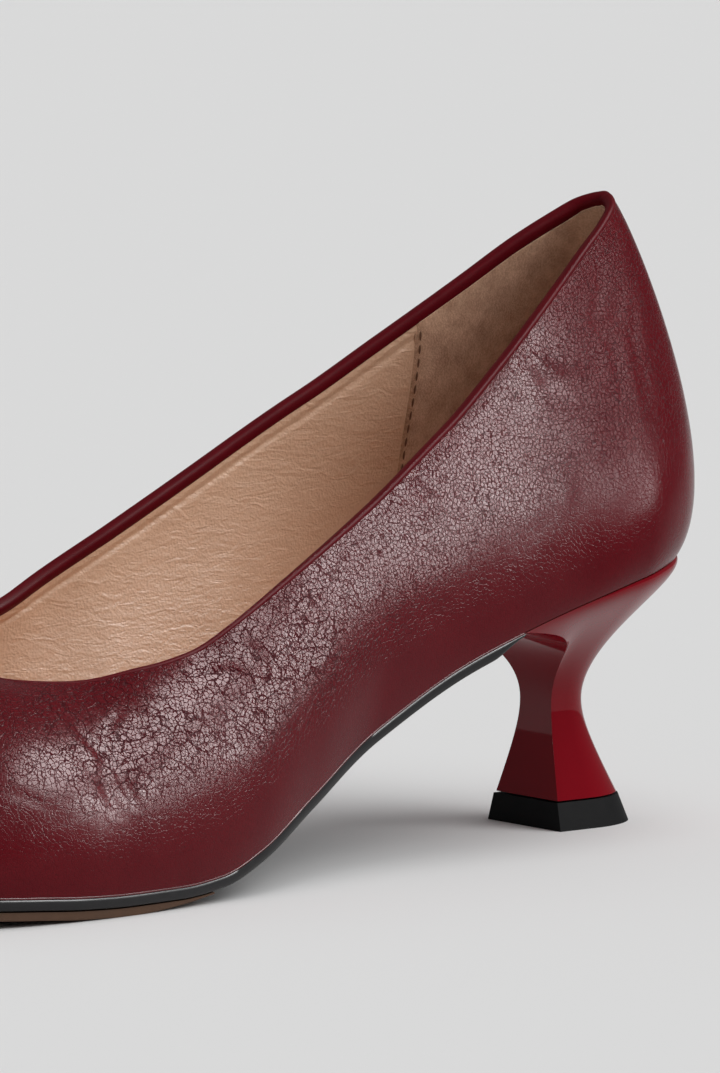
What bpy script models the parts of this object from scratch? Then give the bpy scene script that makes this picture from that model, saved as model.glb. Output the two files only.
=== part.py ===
"""Kitten heel pump for the left foot, built piece by piece on the shape of its last.

+X runs to the toe, +Y to the outer side and +Z up. The origin is the middle of the
heel's rest face on the floor. Lengths are in metres. The tables give shares of the
named sizes, one row for each section from the back of the seat to the tip of the toe.
"""

import math
from typing import NamedTuple

import bmesh
import bpy

# Sizes of the last
SHOE_LENGTH = 0.243
BALL_WIDTH = 0.0755
SEAT_HEIGHT = 0.0476
TOE_SPRING = 0.0086
BACK_HEIGHT = 0.0593
INSTEP_HEIGHT = 0.0344
OUTER_COLLAR_DIP = 0.0028

# Thickness of each layer, and the clearance that meeting pieces keep
WALL = 0.0019
INSOLE = 0.0022
INSOLE_TOE_ROOM = 0.0070
OUTSOLE = 0.0019
OUTSOLE_SKIVED = 0.0005
TREAD = 0.0014
TREAD_SKIVED = 0.0004
GAP = 0.0003

# Sole edge
SEAT_LENGTH = 0.0462
OUTSOLE_SKIVE = 0.0065
EDGE_UNDERCUT = 0.0003
TREAD_START = 0.1210
TREAD_SKIVE = 0.0060
TREAD_INSET = 0.0007

# Heel and top piece: widths across, depths from breast to back
HEEL_SETBACK = 0.0146
SEAT_INSET = 0.0003
WAIST_HEIGHT = 0.0212
WAIST_WIDTH = 0.0082
WAIST_DEPTH = 0.0091
WAIST_BREAST = 0.0080
FOOT_WIDTH = 0.0162
FOOT_DEPTH = 0.0178
FOOT_BREAST = 0.0098
REST_WIDTH = 0.0192
REST_DEPTH = 0.0207
TOP_PIECE = 0.0047
HEEL_SIDE_STRAIGHT = 0.39
SPOOL_ROUNDNESS = 0.35

# Handles of the heel's cup, at its back and at its breast corner, see cup_rings
CUP_RISE_BACK = 0.40
CUP_RISE_BREAST = 0.56
CUP_PULL_BACK = -0.22
CUP_PULL_BREAST_ALONG = 0.85
CUP_PULL_BREAST_ACROSS = 0.22
CUP_FALL_BACK = 0.10
CUP_FALL_BREAST = 0.14

# Fineness of the faceted solids
RIB_PITCH = 0.0043
RIB_STEPS = 11
SLAB_STEPS = 4
HEEL_SIDE_STEPS = 14
BREAST_STEPS = 6
FOOT_RINGS = 7
CUP_RINGS = 10


class SoleRow(NamedTuple):
    """One station of the feather line, where the upper meets the sole."""

    along: float    # from the back of the seat, share of SHOE_LENGTH
    outer: float    # outer edge across, share of BALL_WIDTH
    inner: float    # inner edge across, share of BALL_WIDTH
    lift: float     # rise towards the heel seat, share of the seat over the ball
    spring: float   # rise towards the toe, share of TOE_SPRING


class RibRow(NamedTuple):
    """One rib of the upper, from the feather line to the topline or the vamp's ridge."""

    along: float    # of the rib's top, share of SHOE_LENGTH
    outer: float    # top of the outer rib across, share of BALL_WIDTH
    inner: float    # top of the inner rib across, share of BALL_WIDTH
    height: float   # over the feather line, share of the height between back and instep
    dip: float      # outer topline below the inner one, share of OUTER_COLLAR_DIP
    stand: float    # how far the wall stands out above the sole, share of BALL_WIDTH
    rise: float     # height of the place where it does, share of the rib's height
    hang: float     # how far it stands out below its top, share of BALL_WIDTH
    drop: float     # how steeply it leaves its top, share of the rib's height


SOLE = (
    #        along   outer   inner   lift   spring
    SoleRow(0.0000, 0.000, 0.000, 1.000, 0.00),
    SoleRow(0.0062, 0.122, -0.116, 0.996, 0.00),
    SoleRow(0.0206, 0.211, -0.200, 0.985, 0.00),
    SoleRow(0.0453, 0.282, -0.262, 0.963, 0.00),
    SoleRow(0.0823, 0.329, -0.300, 0.927, 0.00),
    SoleRow(0.1317, 0.344, -0.306, 0.865, 0.00),
    SoleRow(0.1893, 0.342, -0.292, 0.773, 0.00),
    SoleRow(0.2469, 0.338, -0.260, 0.661, 0.00),
    SoleRow(0.3210, 0.348, -0.222, 0.469, 0.00),
    SoleRow(0.3951, 0.410, -0.222, 0.254, 0.00),
    SoleRow(0.4527, 0.464, -0.262, 0.090, 0.00),
    SoleRow(0.4918, 0.487, -0.310, 0.018, 0.00),
    SoleRow(0.5309, 0.504, -0.361, 0.000, 0.00),
    SoleRow(0.5761, 0.517, -0.415, 0.000, 0.00),
    SoleRow(0.6173, 0.522, -0.455, 0.000, 0.04),
    SoleRow(0.6543, 0.514, -0.478, 0.000, 0.11),
    SoleRow(0.6914, 0.491, -0.486, 0.000, 0.17),
    SoleRow(0.7407, 0.447, -0.470, 0.000, 0.27),
    SoleRow(0.7984, 0.371, -0.424, 0.000, 0.42),
    SoleRow(0.8560, 0.272, -0.354, 0.000, 0.57),
    SoleRow(0.9053, 0.175, -0.277, 0.000, 0.70),
    SoleRow(0.9465, 0.087, -0.205, 0.000, 0.82),
    SoleRow(0.9753, 0.018, -0.148, 0.000, 0.91),
    SoleRow(0.9938, -0.032, -0.104, 0.000, 0.97),
    SoleRow(1.0000, -0.068, -0.068, 0.000, 1.00),
)

RIBS = (
    #       along   outer   inner  height  dip   stand  rise   hang   drop
    RibRow(0.0329, 0.001, 0.001, 1.000, 0.00, 0.121, 0.23, 0.050, 0.07),
    RibRow(0.0350, 0.024, -0.021, 1.000, 0.00, 0.123, 0.23, 0.051, 0.07),
    RibRow(0.0432, 0.065, -0.060, 0.995, 0.00, 0.126, 0.23, 0.053, 0.07),
    RibRow(0.0597, 0.098, -0.090, 0.980, 0.10, 0.122, 0.23, 0.052, 0.14),
    RibRow(0.0864, 0.131, -0.121, 0.957, 0.22, 0.113, 0.24, 0.050, 0.25),
    RibRow(0.1276, 0.174, -0.160, 0.913, 0.38, 0.094, 0.26, 0.040, 0.32),
    RibRow(0.1852, 0.229, -0.209, 0.861, 0.62, 0.065, 0.30, 0.030, 0.35),
    RibRow(0.2469, 0.279, -0.249, 0.824, 0.87, 0.056, 0.34, 0.028, 0.33),
    RibRow(0.3210, 0.327, -0.282, 0.844, 1.00, 0.052, 0.37, 0.034, 0.30),
    RibRow(0.3992, 0.362, -0.301, 0.892, 1.00, 0.052, 0.39, 0.050, 0.27),
    RibRow(0.4588, 0.376, -0.321, 0.935, 1.00, 0.053, 0.40, 0.072, 0.22),
    RibRow(0.4938, 0.372, -0.322, 0.944, 0.93, 0.055, 0.40, 0.092, 0.19),
    RibRow(0.5288, 0.351, -0.309, 0.938, 0.78, 0.056, 0.41, 0.115, 0.16),
    RibRow(0.5679, 0.302, -0.268, 0.911, 0.55, 0.058, 0.42, 0.150, 0.12),
    RibRow(0.6058, 0.237, -0.210, 0.931, 0.36, 0.060, 0.43, 0.195, 0.07),
    RibRow(0.6365, 0.136, -0.112, 0.976, 0.12, 0.060, 0.44, 0.240, 0.03),
    RibRow(0.6500, 0.012, 0.012, 1.000, 0.00, 0.060, 0.45, 0.270, 0.00),
    RibRow(0.7050, 0.000, 0.000, 0.898, 0.00, 0.058, 0.45, 0.260, 0.00),
    RibRow(0.7654, -0.017, -0.017, 0.738, 0.00, 0.054, 0.45, 0.225, 0.00),
    RibRow(0.8313, -0.036, -0.036, 0.564, 0.00, 0.048, 0.45, 0.175, 0.00),
    RibRow(0.8889, -0.050, -0.050, 0.410, 0.00, 0.040, 0.45, 0.125, 0.00),
    RibRow(0.9342, -0.061, -0.061, 0.286, 0.00, 0.030, 0.45, 0.080, 0.00),
    RibRow(0.9630, -0.066, -0.066, 0.200, 0.00, 0.020, 0.45, 0.042, 0.00),
    RibRow(0.9794, -0.069, -0.069, 0.142, 0.00, 0.015, 0.45, 0.020, 0.00),
    RibRow(0.9848, -0.070, -0.070, 0.125, 0.00, 0.013, 0.45, 0.014, 0.00),
)

# The row whose rib ends at the throat, where the topline's two sides meet
THROAT_ROW = 16

SOLE_STACK = OUTSOLE + TREAD + 2 * GAP


def hermite_slopes(params, values):
    """Slope at each value so that a cubic through them never overshoots."""
    secants = [
        (values[k + 1] - values[k]) / (params[k + 1] - params[k])
        for k in range(len(values) - 1)
    ]
    slopes = [secants[0]]
    for before, after in zip(secants, secants[1:]):
        level = before * after <= 0.0
        slopes.append(0.0 if level else 2.0 * before * after / (before + after))
    slopes.append(secants[-1])
    return slopes


def smooth_value(params, values, slopes, at):
    """Value of the cubic through the rows at a parameter between the first and the last."""
    k = 0
    while k < len(params) - 2 and at > params[k + 1]:
        k += 1
    span = params[k + 1] - params[k]
    t = min(max((at - params[k]) / span, 0.0), 1.0)
    first = values[k] * (1 + 2 * t) * (1 - t) ** 2 + slopes[k] * span * t * (1 - t) ** 2
    last = values[k + 1] * t * t * (3 - 2 * t) - slopes[k + 1] * span * t * t * (1 - t)
    return first + last


class Column:
    """One table column as a smooth function of the distance along the feather line."""

    def __init__(self, params, values):
        self.params = params
        self.values = values
        self.slopes = hermite_slopes(params, values)

    def at(self, param):
        return smooth_value(self.params, self.values, self.slopes, param)


def feather_distances():
    """Distance along the feather line at each row, averaged over the two sides."""
    distances = [0.0]
    for a, b in zip(SOLE, SOLE[1:]):
        step_x = (b.along - a.along) * SHOE_LENGTH
        outer = math.hypot(step_x, (b.outer - a.outer) * BALL_WIDTH)
        inner = math.hypot(step_x, (b.inner - a.inner) * BALL_WIDTH)
        distances.append(distances[-1] + (outer + inner) / 2)
    return distances


DISTANCES = feather_distances()
STATIONS = [row.along * SHOE_LENGTH for row in SOLE]


def closed_column(rows, name, partner=None):
    """Column of a line that closes on the shoe's other side at its first and last row.

    The other side's rows stand beyond both ends, so the line crosses the middle smoothly.
    """
    near = [getattr(row, name) for row in rows]
    far = [getattr(row, partner or name) for row in rows]
    params = DISTANCES[: len(rows)]
    beyond = 2 * params[-1] - params[-2]
    return Column([-params[1]] + params + [beyond], [far[1]] + near + [far[-2]])


SOLE_ALONG = closed_column(SOLE, "along")
SOLE_SIDE = {
    "outer": closed_column(SOLE, "outer", "inner"),
    "inner": closed_column(SOLE, "inner", "outer"),
}
TOPLINE = RIBS[: THROAT_ROW + 1]
RIDGE = RIBS[THROAT_ROW:]
TOPLINE_ALONG = closed_column(TOPLINE, "along")
TOPLINE_HEIGHT = closed_column(TOPLINE, "height")
TOPLINE_DIP = closed_column(TOPLINE, "dip")
TOPLINE_SIDE = {
    "outer": closed_column(TOPLINE, "outer", "inner"),
    "inner": closed_column(TOPLINE, "inner", "outer"),
}
RIDGE_ALONG = Column(DISTANCES[THROAT_ROW:], [row.along for row in RIDGE])
RIDGE_ACROSS = Column(DISTANCES[THROAT_ROW:], [row.outer for row in RIDGE])
RIDGE_HEIGHT = Column(DISTANCES[THROAT_ROW:], [row.height for row in RIDGE])
RIB_STAND = closed_column(RIBS, "stand")
RIB_RISE = closed_column(RIBS, "rise")
RIB_HANG = closed_column(RIBS, "hang")
RIB_DROP = closed_column(RIBS, "drop")
SOLE_LIFT = Column(STATIONS, [row.lift for row in SOLE])
SOLE_RISE = Column(STATIONS, [row.spring for row in SOLE])


def sole_height(station):
    """Height of the feather line over the floor at a distance from the back of the seat."""
    heel_rise = SOLE_LIFT.at(station) * (SEAT_HEIGHT - SOLE_STACK)
    return SOLE_STACK + heel_rise + SOLE_RISE.at(station) * TOE_SPRING


def feather_point(side, distance):
    """Station and place across of the feather line at a distance along it."""
    station = SOLE_ALONG.at(distance) * SHOE_LENGTH
    return station, SOLE_SIDE[side].at(distance) * BALL_WIDTH


def feather_normal(side, distance):
    """Level direction that points out of the shoe, square to the feather line."""
    step = DISTANCES[-1] / 400
    behind = max(distance - step, 0.0)
    ahead = min(distance + step, DISTANCES[-1])
    x0, y0 = feather_point(side, behind)
    x1, y1 = feather_point(side, ahead)
    if distance <= 0.0:
        return -1.0, 0.0
    if distance >= DISTANCES[-1]:
        return 1.0, 0.0
    turn = 1.0 if side == "outer" else -1.0
    length = math.hypot(x1 - x0, y1 - y0)
    return -turn * (y1 - y0) / length, turn * (x1 - x0) / length


def inset_point(side, distance, inset):
    """Feather line moved into the shoe by an inset."""
    x, y = feather_point(side, distance)
    normal_x, normal_y = feather_normal(side, distance)
    return x - normal_x * inset, y - normal_y * inset


def distance_at(station):
    """Distance along the feather line at which it reaches a station."""
    low, high = 0.0, DISTANCES[-1]
    for _ in range(40):
        middle = (low + high) / 2
        if SOLE_ALONG.at(middle) * SHOE_LENGTH < station:
            low = middle
        else:
            high = middle
    return (low + high) / 2


def rib_distances():
    """Distances along the feather line at which the upper has a rib."""
    distances = []
    for a, b in zip(DISTANCES, DISTANCES[1:]):
        steps = max(round((b - a) / RIB_PITCH), 1)
        distances += [a + (b - a) * k / steps for k in range(steps)]
    return distances + [DISTANCES[-1]]


def rib_top(side, distance):
    """Point of the topline, or of the vamp's ridge past the throat."""
    base = sole_height(SOLE_ALONG.at(distance) * SHOE_LENGTH)
    if distance >= DISTANCES[THROAT_ROW]:
        x = RIDGE_ALONG.at(distance) * SHOE_LENGTH
        y = RIDGE_ACROSS.at(distance) * BALL_WIDTH
        return x, y, base + RIDGE_HEIGHT.at(distance) * INSTEP_HEIGHT
    along = TOPLINE_ALONG.at(distance)
    share = (along - RIBS[0].along) / (RIBS[THROAT_ROW].along - RIBS[0].along)
    full = BACK_HEIGHT + (INSTEP_HEIGHT - BACK_HEIGHT) * share
    z = base + TOPLINE_HEIGHT.at(distance) * full
    if side == "outer":
        z -= TOPLINE_DIP.at(distance) * OUTER_COLLAR_DIP
    return along * SHOE_LENGTH, TOPLINE_SIDE[side].at(distance) * BALL_WIDTH, z


def ridge_slope(distance):
    """Fall of the vamp's ridge for each metre forward, none behind the throat."""
    if distance < DISTANCES[THROAT_ROW]:
        return 0.0
    step = DISTANCES[-1] / 400
    x0, _, z0 = rib_top("outer", max(distance - step, DISTANCES[THROAT_ROW]))
    x1, _, z1 = rib_top("outer", min(distance + step, DISTANCES[-1]))
    return (z1 - z0) / (x1 - x0)


def rib_points(side, distance):
    """Points of one rib, a cubic with handles that stand out of the last."""
    foot_x, foot_y = feather_point(side, distance)
    foot = (foot_x, foot_y, sole_height(foot_x))
    top = rib_top(side, distance)
    normal_x, normal_y = feather_normal(side, distance)
    height = top[2] - foot[2]
    stand = RIB_STAND.at(distance) * BALL_WIDTH
    hang = RIB_HANG.at(distance) * BALL_WIDTH
    rise = RIB_RISE.at(distance) * height
    low = (foot[0] + normal_x * stand, foot[1] + normal_y * stand, foot[2] + rise)
    fall = RIB_DROP.at(distance) * height - ridge_slope(distance) * normal_x * hang
    high = (top[0] + normal_x * hang, top[1] + normal_y * hang, top[2] - fall)
    return [bezier(foot, low, high, top, k / RIB_STEPS) for k in range(RIB_STEPS + 1)]


def bezier(start, first, second, end, t):
    """Point of a cubic Bezier curve."""
    weights = ((1 - t) ** 3, 3 * t * (1 - t) ** 2, 3 * t * t * (1 - t), t ** 3)
    corners = (start, first, second, end)
    return tuple(sum(w * c[axis] for w, c in zip(weights, corners)) for axis in range(3))


def placed(point):
    """Point measured from the back of the seat, moved to the origin under the heel."""
    return point[0] - HEEL_SETBACK, point[1], point[2]


def make_material(name, colour, roughness, coat=0.0):
    """Principled material of one plain colour."""
    material = bpy.data.materials.new(name)
    material.use_nodes = True
    shader = material.node_tree.nodes["Principled BSDF"]
    shader.inputs["Base Color"].default_value = (*colour, 1.0)
    shader.inputs["Roughness"].default_value = roughness
    shader.inputs["Coat Weight"].default_value = coat
    material.diffuse_color = (*colour, 1.0)
    return material


def make_object(name, points, faces, material, collection, sharp_angle=40.0):
    """Object from points and faces, with its faces turned outward and shaded smooth."""
    mesh = bpy.data.meshes.new(name)
    mesh.from_pydata([placed(point) for point in points], [], faces)
    sheet = bmesh.new()
    sheet.from_mesh(mesh)
    bmesh.ops.recalc_face_normals(sheet, faces=sheet.faces)
    sheet.to_mesh(mesh)
    sheet.free()
    mesh.materials.append(material)
    mesh.shade_smooth()
    mesh.set_sharp_from_angle(angle=math.radians(sharp_angle))
    thing = bpy.data.objects.new(name, mesh)
    collection.objects.link(thing)
    return thing


def build_upper(material, collection):
    """Outer surface of the upper from its ribs, given its wall by Solidify."""
    distances = rib_distances()
    throat = distances.index(DISTANCES[THROAT_ROW])
    points = []
    ribs = {}
    for side in ("outer", "inner"):
        for k, distance in enumerate(distances):
            shared = side == "inner" and k in (0, len(distances) - 1)
            if shared:
                ribs[side, k] = ribs["outer", k]
                continue
            rib = rib_points(side, distance)
            numbers = list(range(len(points), len(points) + len(rib)))
            if side == "inner" and k >= throat:
                numbers[-1] = ribs["outer", k][-1]
                rib = rib[:-1]
            ribs[side, k] = numbers
            points += rib
    faces = []
    for side in ("outer", "inner"):
        for k in range(len(distances) - 1):
            here, ahead = ribs[side, k], ribs[side, k + 1]
            for j in range(RIB_STEPS):
                face = [here[j], ahead[j], ahead[j + 1], here[j + 1]]
                faces.append(face if side == "inner" else face[::-1])
    upper = make_object("upper", points, faces, material, collection)
    wall = upper.modifiers.new("wall", "SOLIDIFY")
    wall.thickness = WALL
    wall.offset = -1.0
    wall.use_even_offset = True
    wall.use_quality_normals = True
    return upper


def edge_pairs(first, last, inset):
    """Outer and inner point of a flat layer at each step from one distance to another."""
    steps = [d for d in rib_distances() if first < d < last]
    distances = [first] + steps + [last]
    return [
        (inset_point("outer", d, inset), inset_point("inner", d, inset))
        for d in distances
    ]


def build_slab(name, pairs, undercut, top_at, bottom_at, material, collection):
    """Closed layer between two heights that follow the sole, from its edge points."""
    points = []
    layers = []
    for shrink, height_at in ((0.0, top_at), (undercut, bottom_at)):
        rows = []
        for outer, inner in pairs:
            width = math.hypot(outer[0] - inner[0], outer[1] - inner[1])
            single = width < GAP
            steps = 0 if single else SLAB_STEPS
            row = []
            for k in range(steps + 1):
                share = k / steps if steps else 0.0
                if not single:
                    share = shrink / width + share * (1 - 2 * shrink / width)
                x = outer[0] + (inner[0] - outer[0]) * share
                y = outer[1] + (inner[1] - outer[1]) * share
                row.append(len(points))
                points.append((x, y, height_at(x)))
            rows.append(row)
        layers.append(rows)
    faces = []
    for rows in layers:
        for a, b in zip(rows, rows[1:]):
            faces += strip_faces(a, b)
    top, bottom = layers
    rim_top, rim_bottom = closed_rims(top), closed_rims(bottom)
    count = len(rim_top)
    for k in range(count):
        n = (k + 1) % count
        faces.append([rim_top[k], rim_top[n], rim_bottom[n], rim_bottom[k]])
    return make_object(name, points, faces, material, collection)


def closed_rims(rows):
    """Numbers around the edge of a layer: outer side, front end, inner side, back end."""
    rim = [row[0] for row in rows[:-1]]
    rim += rows[-1]
    rim += [row[-1] for row in reversed(rows[:-1])][: len(rows) - 2]
    rim += list(reversed(rows[0]))[: len(rows[0]) - 1]
    return rim


def strip_faces(a, b):
    """Faces between two rows of numbers, one of which may be a single point."""
    if len(a) == 1:
        return [[a[0], b[k], b[k + 1]] for k in range(len(b) - 1)]
    if len(b) == 1:
        return [[a[k], b[0], a[k + 1]] for k in range(len(a) - 1)]
    return [[a[k], b[k], b[k + 1], a[k + 1]] for k in range(len(a) - 1)]


def sheet_factor(station):
    """Upright thickness of a sheet that slopes with the sole, for each metre of its own."""
    step = SHOE_LENGTH / 200
    rise = sole_height(station + step) - sole_height(station - step)
    return math.hypot(1.0, rise / (2 * step))


def ease(value):
    """Smooth step from 0 to 1."""
    share = min(max(value, 0.0), 1.0)
    return share * share * (3 - 2 * share)


def outsole_top(station):
    """Upper face of the outsole and of the heel seat."""
    return sole_height(station) - GAP


def outsole_bottom(station):
    """Under face of the outsole, skived to a thin end at the heel breast."""
    share = ease((station - SEAT_LENGTH - GAP) / OUTSOLE_SKIVE)
    thickness = OUTSOLE_SKIVED + (OUTSOLE - OUTSOLE_SKIVED) * share
    return outsole_top(station) - thickness * sheet_factor(station)


def tread_top(station):
    """Upper face of the forepart layer, under the outsole."""
    return outsole_bottom(station) - GAP


def tread_bottom(station):
    """Under face of the forepart layer, skived where it starts behind the ball."""
    share = ease((station - TREAD_START) / TREAD_SKIVE)
    return tread_top(station) - TREAD_SKIVED - (TREAD - TREAD_SKIVED) * share


def insole_top(station):
    """Upper face of the insole, on which the foot stands."""
    return sole_height(station) + INSOLE


def build_insole(material, collection):
    """Insole inside the upper, over the outsole and the heel seat."""
    end = distance_at(SHOE_LENGTH - INSOLE_TOE_ROOM)
    pairs = edge_pairs(0.0, end, WALL + GAP)
    return build_slab("insole", pairs, 0.0, insole_top, sole_height, material, collection)


def build_outsole(material, collection):
    """Black-edged sole from the heel breast to the toe."""
    start = distance_at(SEAT_LENGTH + GAP)
    pairs = edge_pairs(start, DISTANCES[-1], 0.0)
    return build_slab(
        "outsole", pairs, EDGE_UNDERCUT, outsole_top, outsole_bottom, material, collection
    )


def build_tread(material, collection):
    """Thin tan layer under the forepart, flat where the ball of the foot stands."""
    start = distance_at(TREAD_START)
    pairs = edge_pairs(start, DISTANCES[-1], TREAD_INSET)
    return build_slab("tread", pairs, 0.0, tread_top, tread_bottom, material, collection)


def spool(share):
    """Growth of the heel away from its waist, round at first and then straight."""
    full = math.hypot(1.0, SPOOL_ROUNDNESS) - SPOOL_ROUNDNESS
    return (math.hypot(share, SPOOL_ROUNDNESS) - SPOOL_ROUNDNESS) / full


def d_outline(breast, depth, width):
    """D-shaped ring from the outer breast corner round the back to the inner one."""
    half = width / 2
    straight = HEEL_SIDE_STRAIGHT * depth
    centre = breast - straight
    reach = depth - straight
    walk = [(breast, half)]
    turns = 60
    for k in range(turns + 1):
        angle = math.pi * k / turns
        walk.append((centre - reach * math.sin(angle), half * math.cos(angle)))
    walk.append((breast, -half))
    return spread(walk, 2 * HEEL_SIDE_STEPS)


def spread(walk, steps):
    """Points at equal distances along a line of points."""
    lengths = [0.0]
    for a, b in zip(walk, walk[1:]):
        lengths.append(lengths[-1] + math.hypot(b[0] - a[0], b[1] - a[1]))
    points = []
    for k in range(steps + 1):
        goal = lengths[-1] * k / steps
        n = 0
        while n < len(lengths) - 2 and lengths[n + 1] < goal:
            n += 1
        share = (goal - lengths[n]) / (lengths[n + 1] - lengths[n])
        a, b = walk[n], walk[n + 1]
        points.append(tuple(a[i] + (b[i] - a[i]) * share for i in range(2)))
    return points


def with_breast(ring):
    """Ring of points closed along the breast, from the inner corner to the outer one."""
    inner, outer = ring[-1], ring[0]
    breast = []
    for k in range(1, BREAST_STEPS):
        share = k / BREAST_STEPS
        breast.append(tuple(inner[i] + (outer[i] - inner[i]) * share for i in range(len(inner))))
    return ring + breast


def column_ring(breast, depth, width, height):
    """Level ring of the heel's column or the top piece, closed along the breast."""
    ring = d_outline(breast + HEEL_SETBACK, depth, width)
    return with_breast([(x, y, height) for x, y in ring])


def seat_ring():
    """Ring of the heel seat under the upper, from breast corner to breast corner."""
    front = distance_at(SEAT_LENGTH)
    steps = [front * (1 - k / HEEL_SIDE_STEPS) for k in range(HEEL_SIDE_STEPS + 1)]
    ring = [inset_point("outer", d, SEAT_INSET) for d in steps]
    ring += [inset_point("inner", d, SEAT_INSET) for d in reversed(steps[:-1])]
    return with_breast([(x, y, outsole_top(x)) for x, y in ring])


def cup_rings(waist, seat):
    """Rings of the cup that flares from the heel's waist up to the seat.

    Each line up the cup is a cubic: upright at the waist, then out to the seat. The
    breast corners turn out late and sharply, the back early and evenly.
    """
    lines = []
    for low, high in zip(waist, seat):
        front = (max(high[0], 0.0) / SEAT_LENGTH) ** 2
        height = high[2] - low[2]
        rise = CUP_RISE_BACK + (CUP_RISE_BREAST - CUP_RISE_BACK) * front
        fall = CUP_FALL_BACK + (CUP_FALL_BREAST - CUP_FALL_BACK) * front
        along = CUP_PULL_BACK + (CUP_PULL_BREAST_ALONG - CUP_PULL_BACK) * front
        across = CUP_PULL_BACK + (CUP_PULL_BREAST_ACROSS - CUP_PULL_BACK) * front
        first = (low[0], low[1], low[2] + rise * height)
        second = (
            high[0] + (low[0] - high[0]) * along,
            high[1] + (low[1] - high[1]) * across,
            high[2] - fall * height,
        )
        lines.append((low, first, second, high))
    steps = [k / CUP_RINGS for k in range(1, CUP_RINGS + 1)]
    return [[bezier(*line, t) for line in lines] for t in steps]


def build_heel(material, collection):
    """Spool heel: a D-shaped column, waisted, with a cup that carries the seat."""
    rings = []
    foot_height = TOP_PIECE + GAP
    for k in range(FOOT_RINGS + 1):
        share = 1 - k / FOOT_RINGS
        grown = spool(share)
        rings.append(column_ring(
            WAIST_BREAST + (FOOT_BREAST - WAIST_BREAST) * grown,
            WAIST_DEPTH + (FOOT_DEPTH - WAIST_DEPTH) * grown,
            WAIST_WIDTH + (FOOT_WIDTH - WAIST_WIDTH) * grown,
            WAIST_HEIGHT + (foot_height - WAIST_HEIGHT) * share,
        ))
    rings += cup_rings(rings[-1], seat_ring())
    size = len(rings[0])
    points = [point for ring in rings for point in ring]
    faces = ring_faces(len(rings), size)
    faces.append(list(range(size)))
    last = size * (len(rings) - 1)
    sides = 2 * HEEL_SIDE_STEPS
    first = [last, last + 1, last + sides - 1] + [last + k for k in range(sides, size)]
    faces.append(first)
    for k in range(1, HEEL_SIDE_STEPS):
        near, far = last + k, last + sides - k
        if k == HEEL_SIDE_STEPS - 1:
            faces.append([near, near + 1, far])
        else:
            faces.append([near, near + 1, far - 1, far])
    return make_object("heel", points, faces, material, collection, 35.0)


def ring_faces(count, size):
    """Faces between rings that follow each other and have the same size."""
    faces = []
    for r in range(count - 1):
        for k in range(size):
            n = (k + 1) % size
            low, high = r * size, (r + 1) * size
            faces.append([low + k, low + n, high + n, high + k])
    return faces


def build_top_piece(material, collection):
    """Rubber top piece, flared from the heel's foot to its rest face."""
    bottom = column_ring(REST_DEPTH / 2, REST_DEPTH, REST_WIDTH, 0.0)
    top = column_ring(FOOT_BREAST + GAP, FOOT_DEPTH + 2 * GAP, FOOT_WIDTH + 2 * GAP, TOP_PIECE)
    size = len(bottom)
    faces = ring_faces(2, size) + [list(range(size)), list(range(size, 2 * size))]
    return make_object("top_piece", bottom + top, faces, material, collection, 35.0)


def clear_scene():
    """Remove whatever objects the file starts with."""
    for thing in list(bpy.data.objects):
        bpy.data.objects.remove(thing, do_unlink=True)


def main():
    """Build every piece of the shoe into its own collection."""
    clear_scene()
    collection = bpy.data.collections.new("kitten_heel_pump")
    bpy.context.scene.collection.children.link(collection)
    leather = make_material("burgundy_leather", (0.16, 0.008, 0.018), 0.38, 0.3)
    lacquer = make_material("cherry_lacquer", (0.22, 0.005, 0.012), 0.18, 1.0)
    edge_paint = make_material("black_edge", (0.012, 0.012, 0.013), 0.30, 0.4)
    tan_leather = make_material("tan_sole", (0.32, 0.20, 0.13), 0.60)
    rubber = make_material("black_rubber", (0.014, 0.014, 0.015), 0.55)
    nude_leather = make_material("nude_sock", (0.52, 0.33, 0.22), 0.55)
    build_upper(leather, collection)
    build_insole(nude_leather, collection)
    build_outsole(edge_paint, collection)
    build_tread(tan_leather, collection)
    build_heel(lacquer, collection)
    build_top_piece(rubber, collection)


main()
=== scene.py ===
"""Looks of a kitten heel pump for the left foot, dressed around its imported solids.

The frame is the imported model's own: metres, +X to the toe, +Y to the outer side, +Z up,
and the origin on the floor under the middle of the heel. A place on the upper is given by
its signed distance along the feather line, where the upper meets the sole, counted from
the back of the seat and positive on the outer side, and by its share of the way up the
rib from the feather line to the topline or, before the throat, to the vamp's ridge.
"""

import logging
import math
from dataclasses import dataclass
from enum import Enum
from typing import Callable, NamedTuple, Sequence

import bpy
import numpy as np
from mathutils import Matrix, Vector

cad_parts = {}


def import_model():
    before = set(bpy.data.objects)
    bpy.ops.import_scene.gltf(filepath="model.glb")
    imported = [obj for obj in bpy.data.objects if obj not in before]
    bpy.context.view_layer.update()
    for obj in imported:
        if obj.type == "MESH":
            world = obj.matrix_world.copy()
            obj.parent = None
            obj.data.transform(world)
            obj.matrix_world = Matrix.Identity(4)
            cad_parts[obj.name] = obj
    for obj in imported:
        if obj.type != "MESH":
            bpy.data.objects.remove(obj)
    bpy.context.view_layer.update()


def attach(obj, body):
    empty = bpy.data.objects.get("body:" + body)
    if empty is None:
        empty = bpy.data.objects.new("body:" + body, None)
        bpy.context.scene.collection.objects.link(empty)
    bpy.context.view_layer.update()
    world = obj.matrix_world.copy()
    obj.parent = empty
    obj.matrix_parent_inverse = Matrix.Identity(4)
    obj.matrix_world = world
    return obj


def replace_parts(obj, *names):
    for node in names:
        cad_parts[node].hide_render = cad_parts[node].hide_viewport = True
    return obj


LOG = logging.getLogger("pump")
BODY = "root"
MM = 0.001
# Slopes and directions are taken over one of so many steps of the feather line
SLOPE_STEPS = 400
# Places nearer than this, in metres, are one place
WELD = 1e-9
# Halvings that find a place on a line to well under a micrometre
HALVINGS = 40

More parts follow.
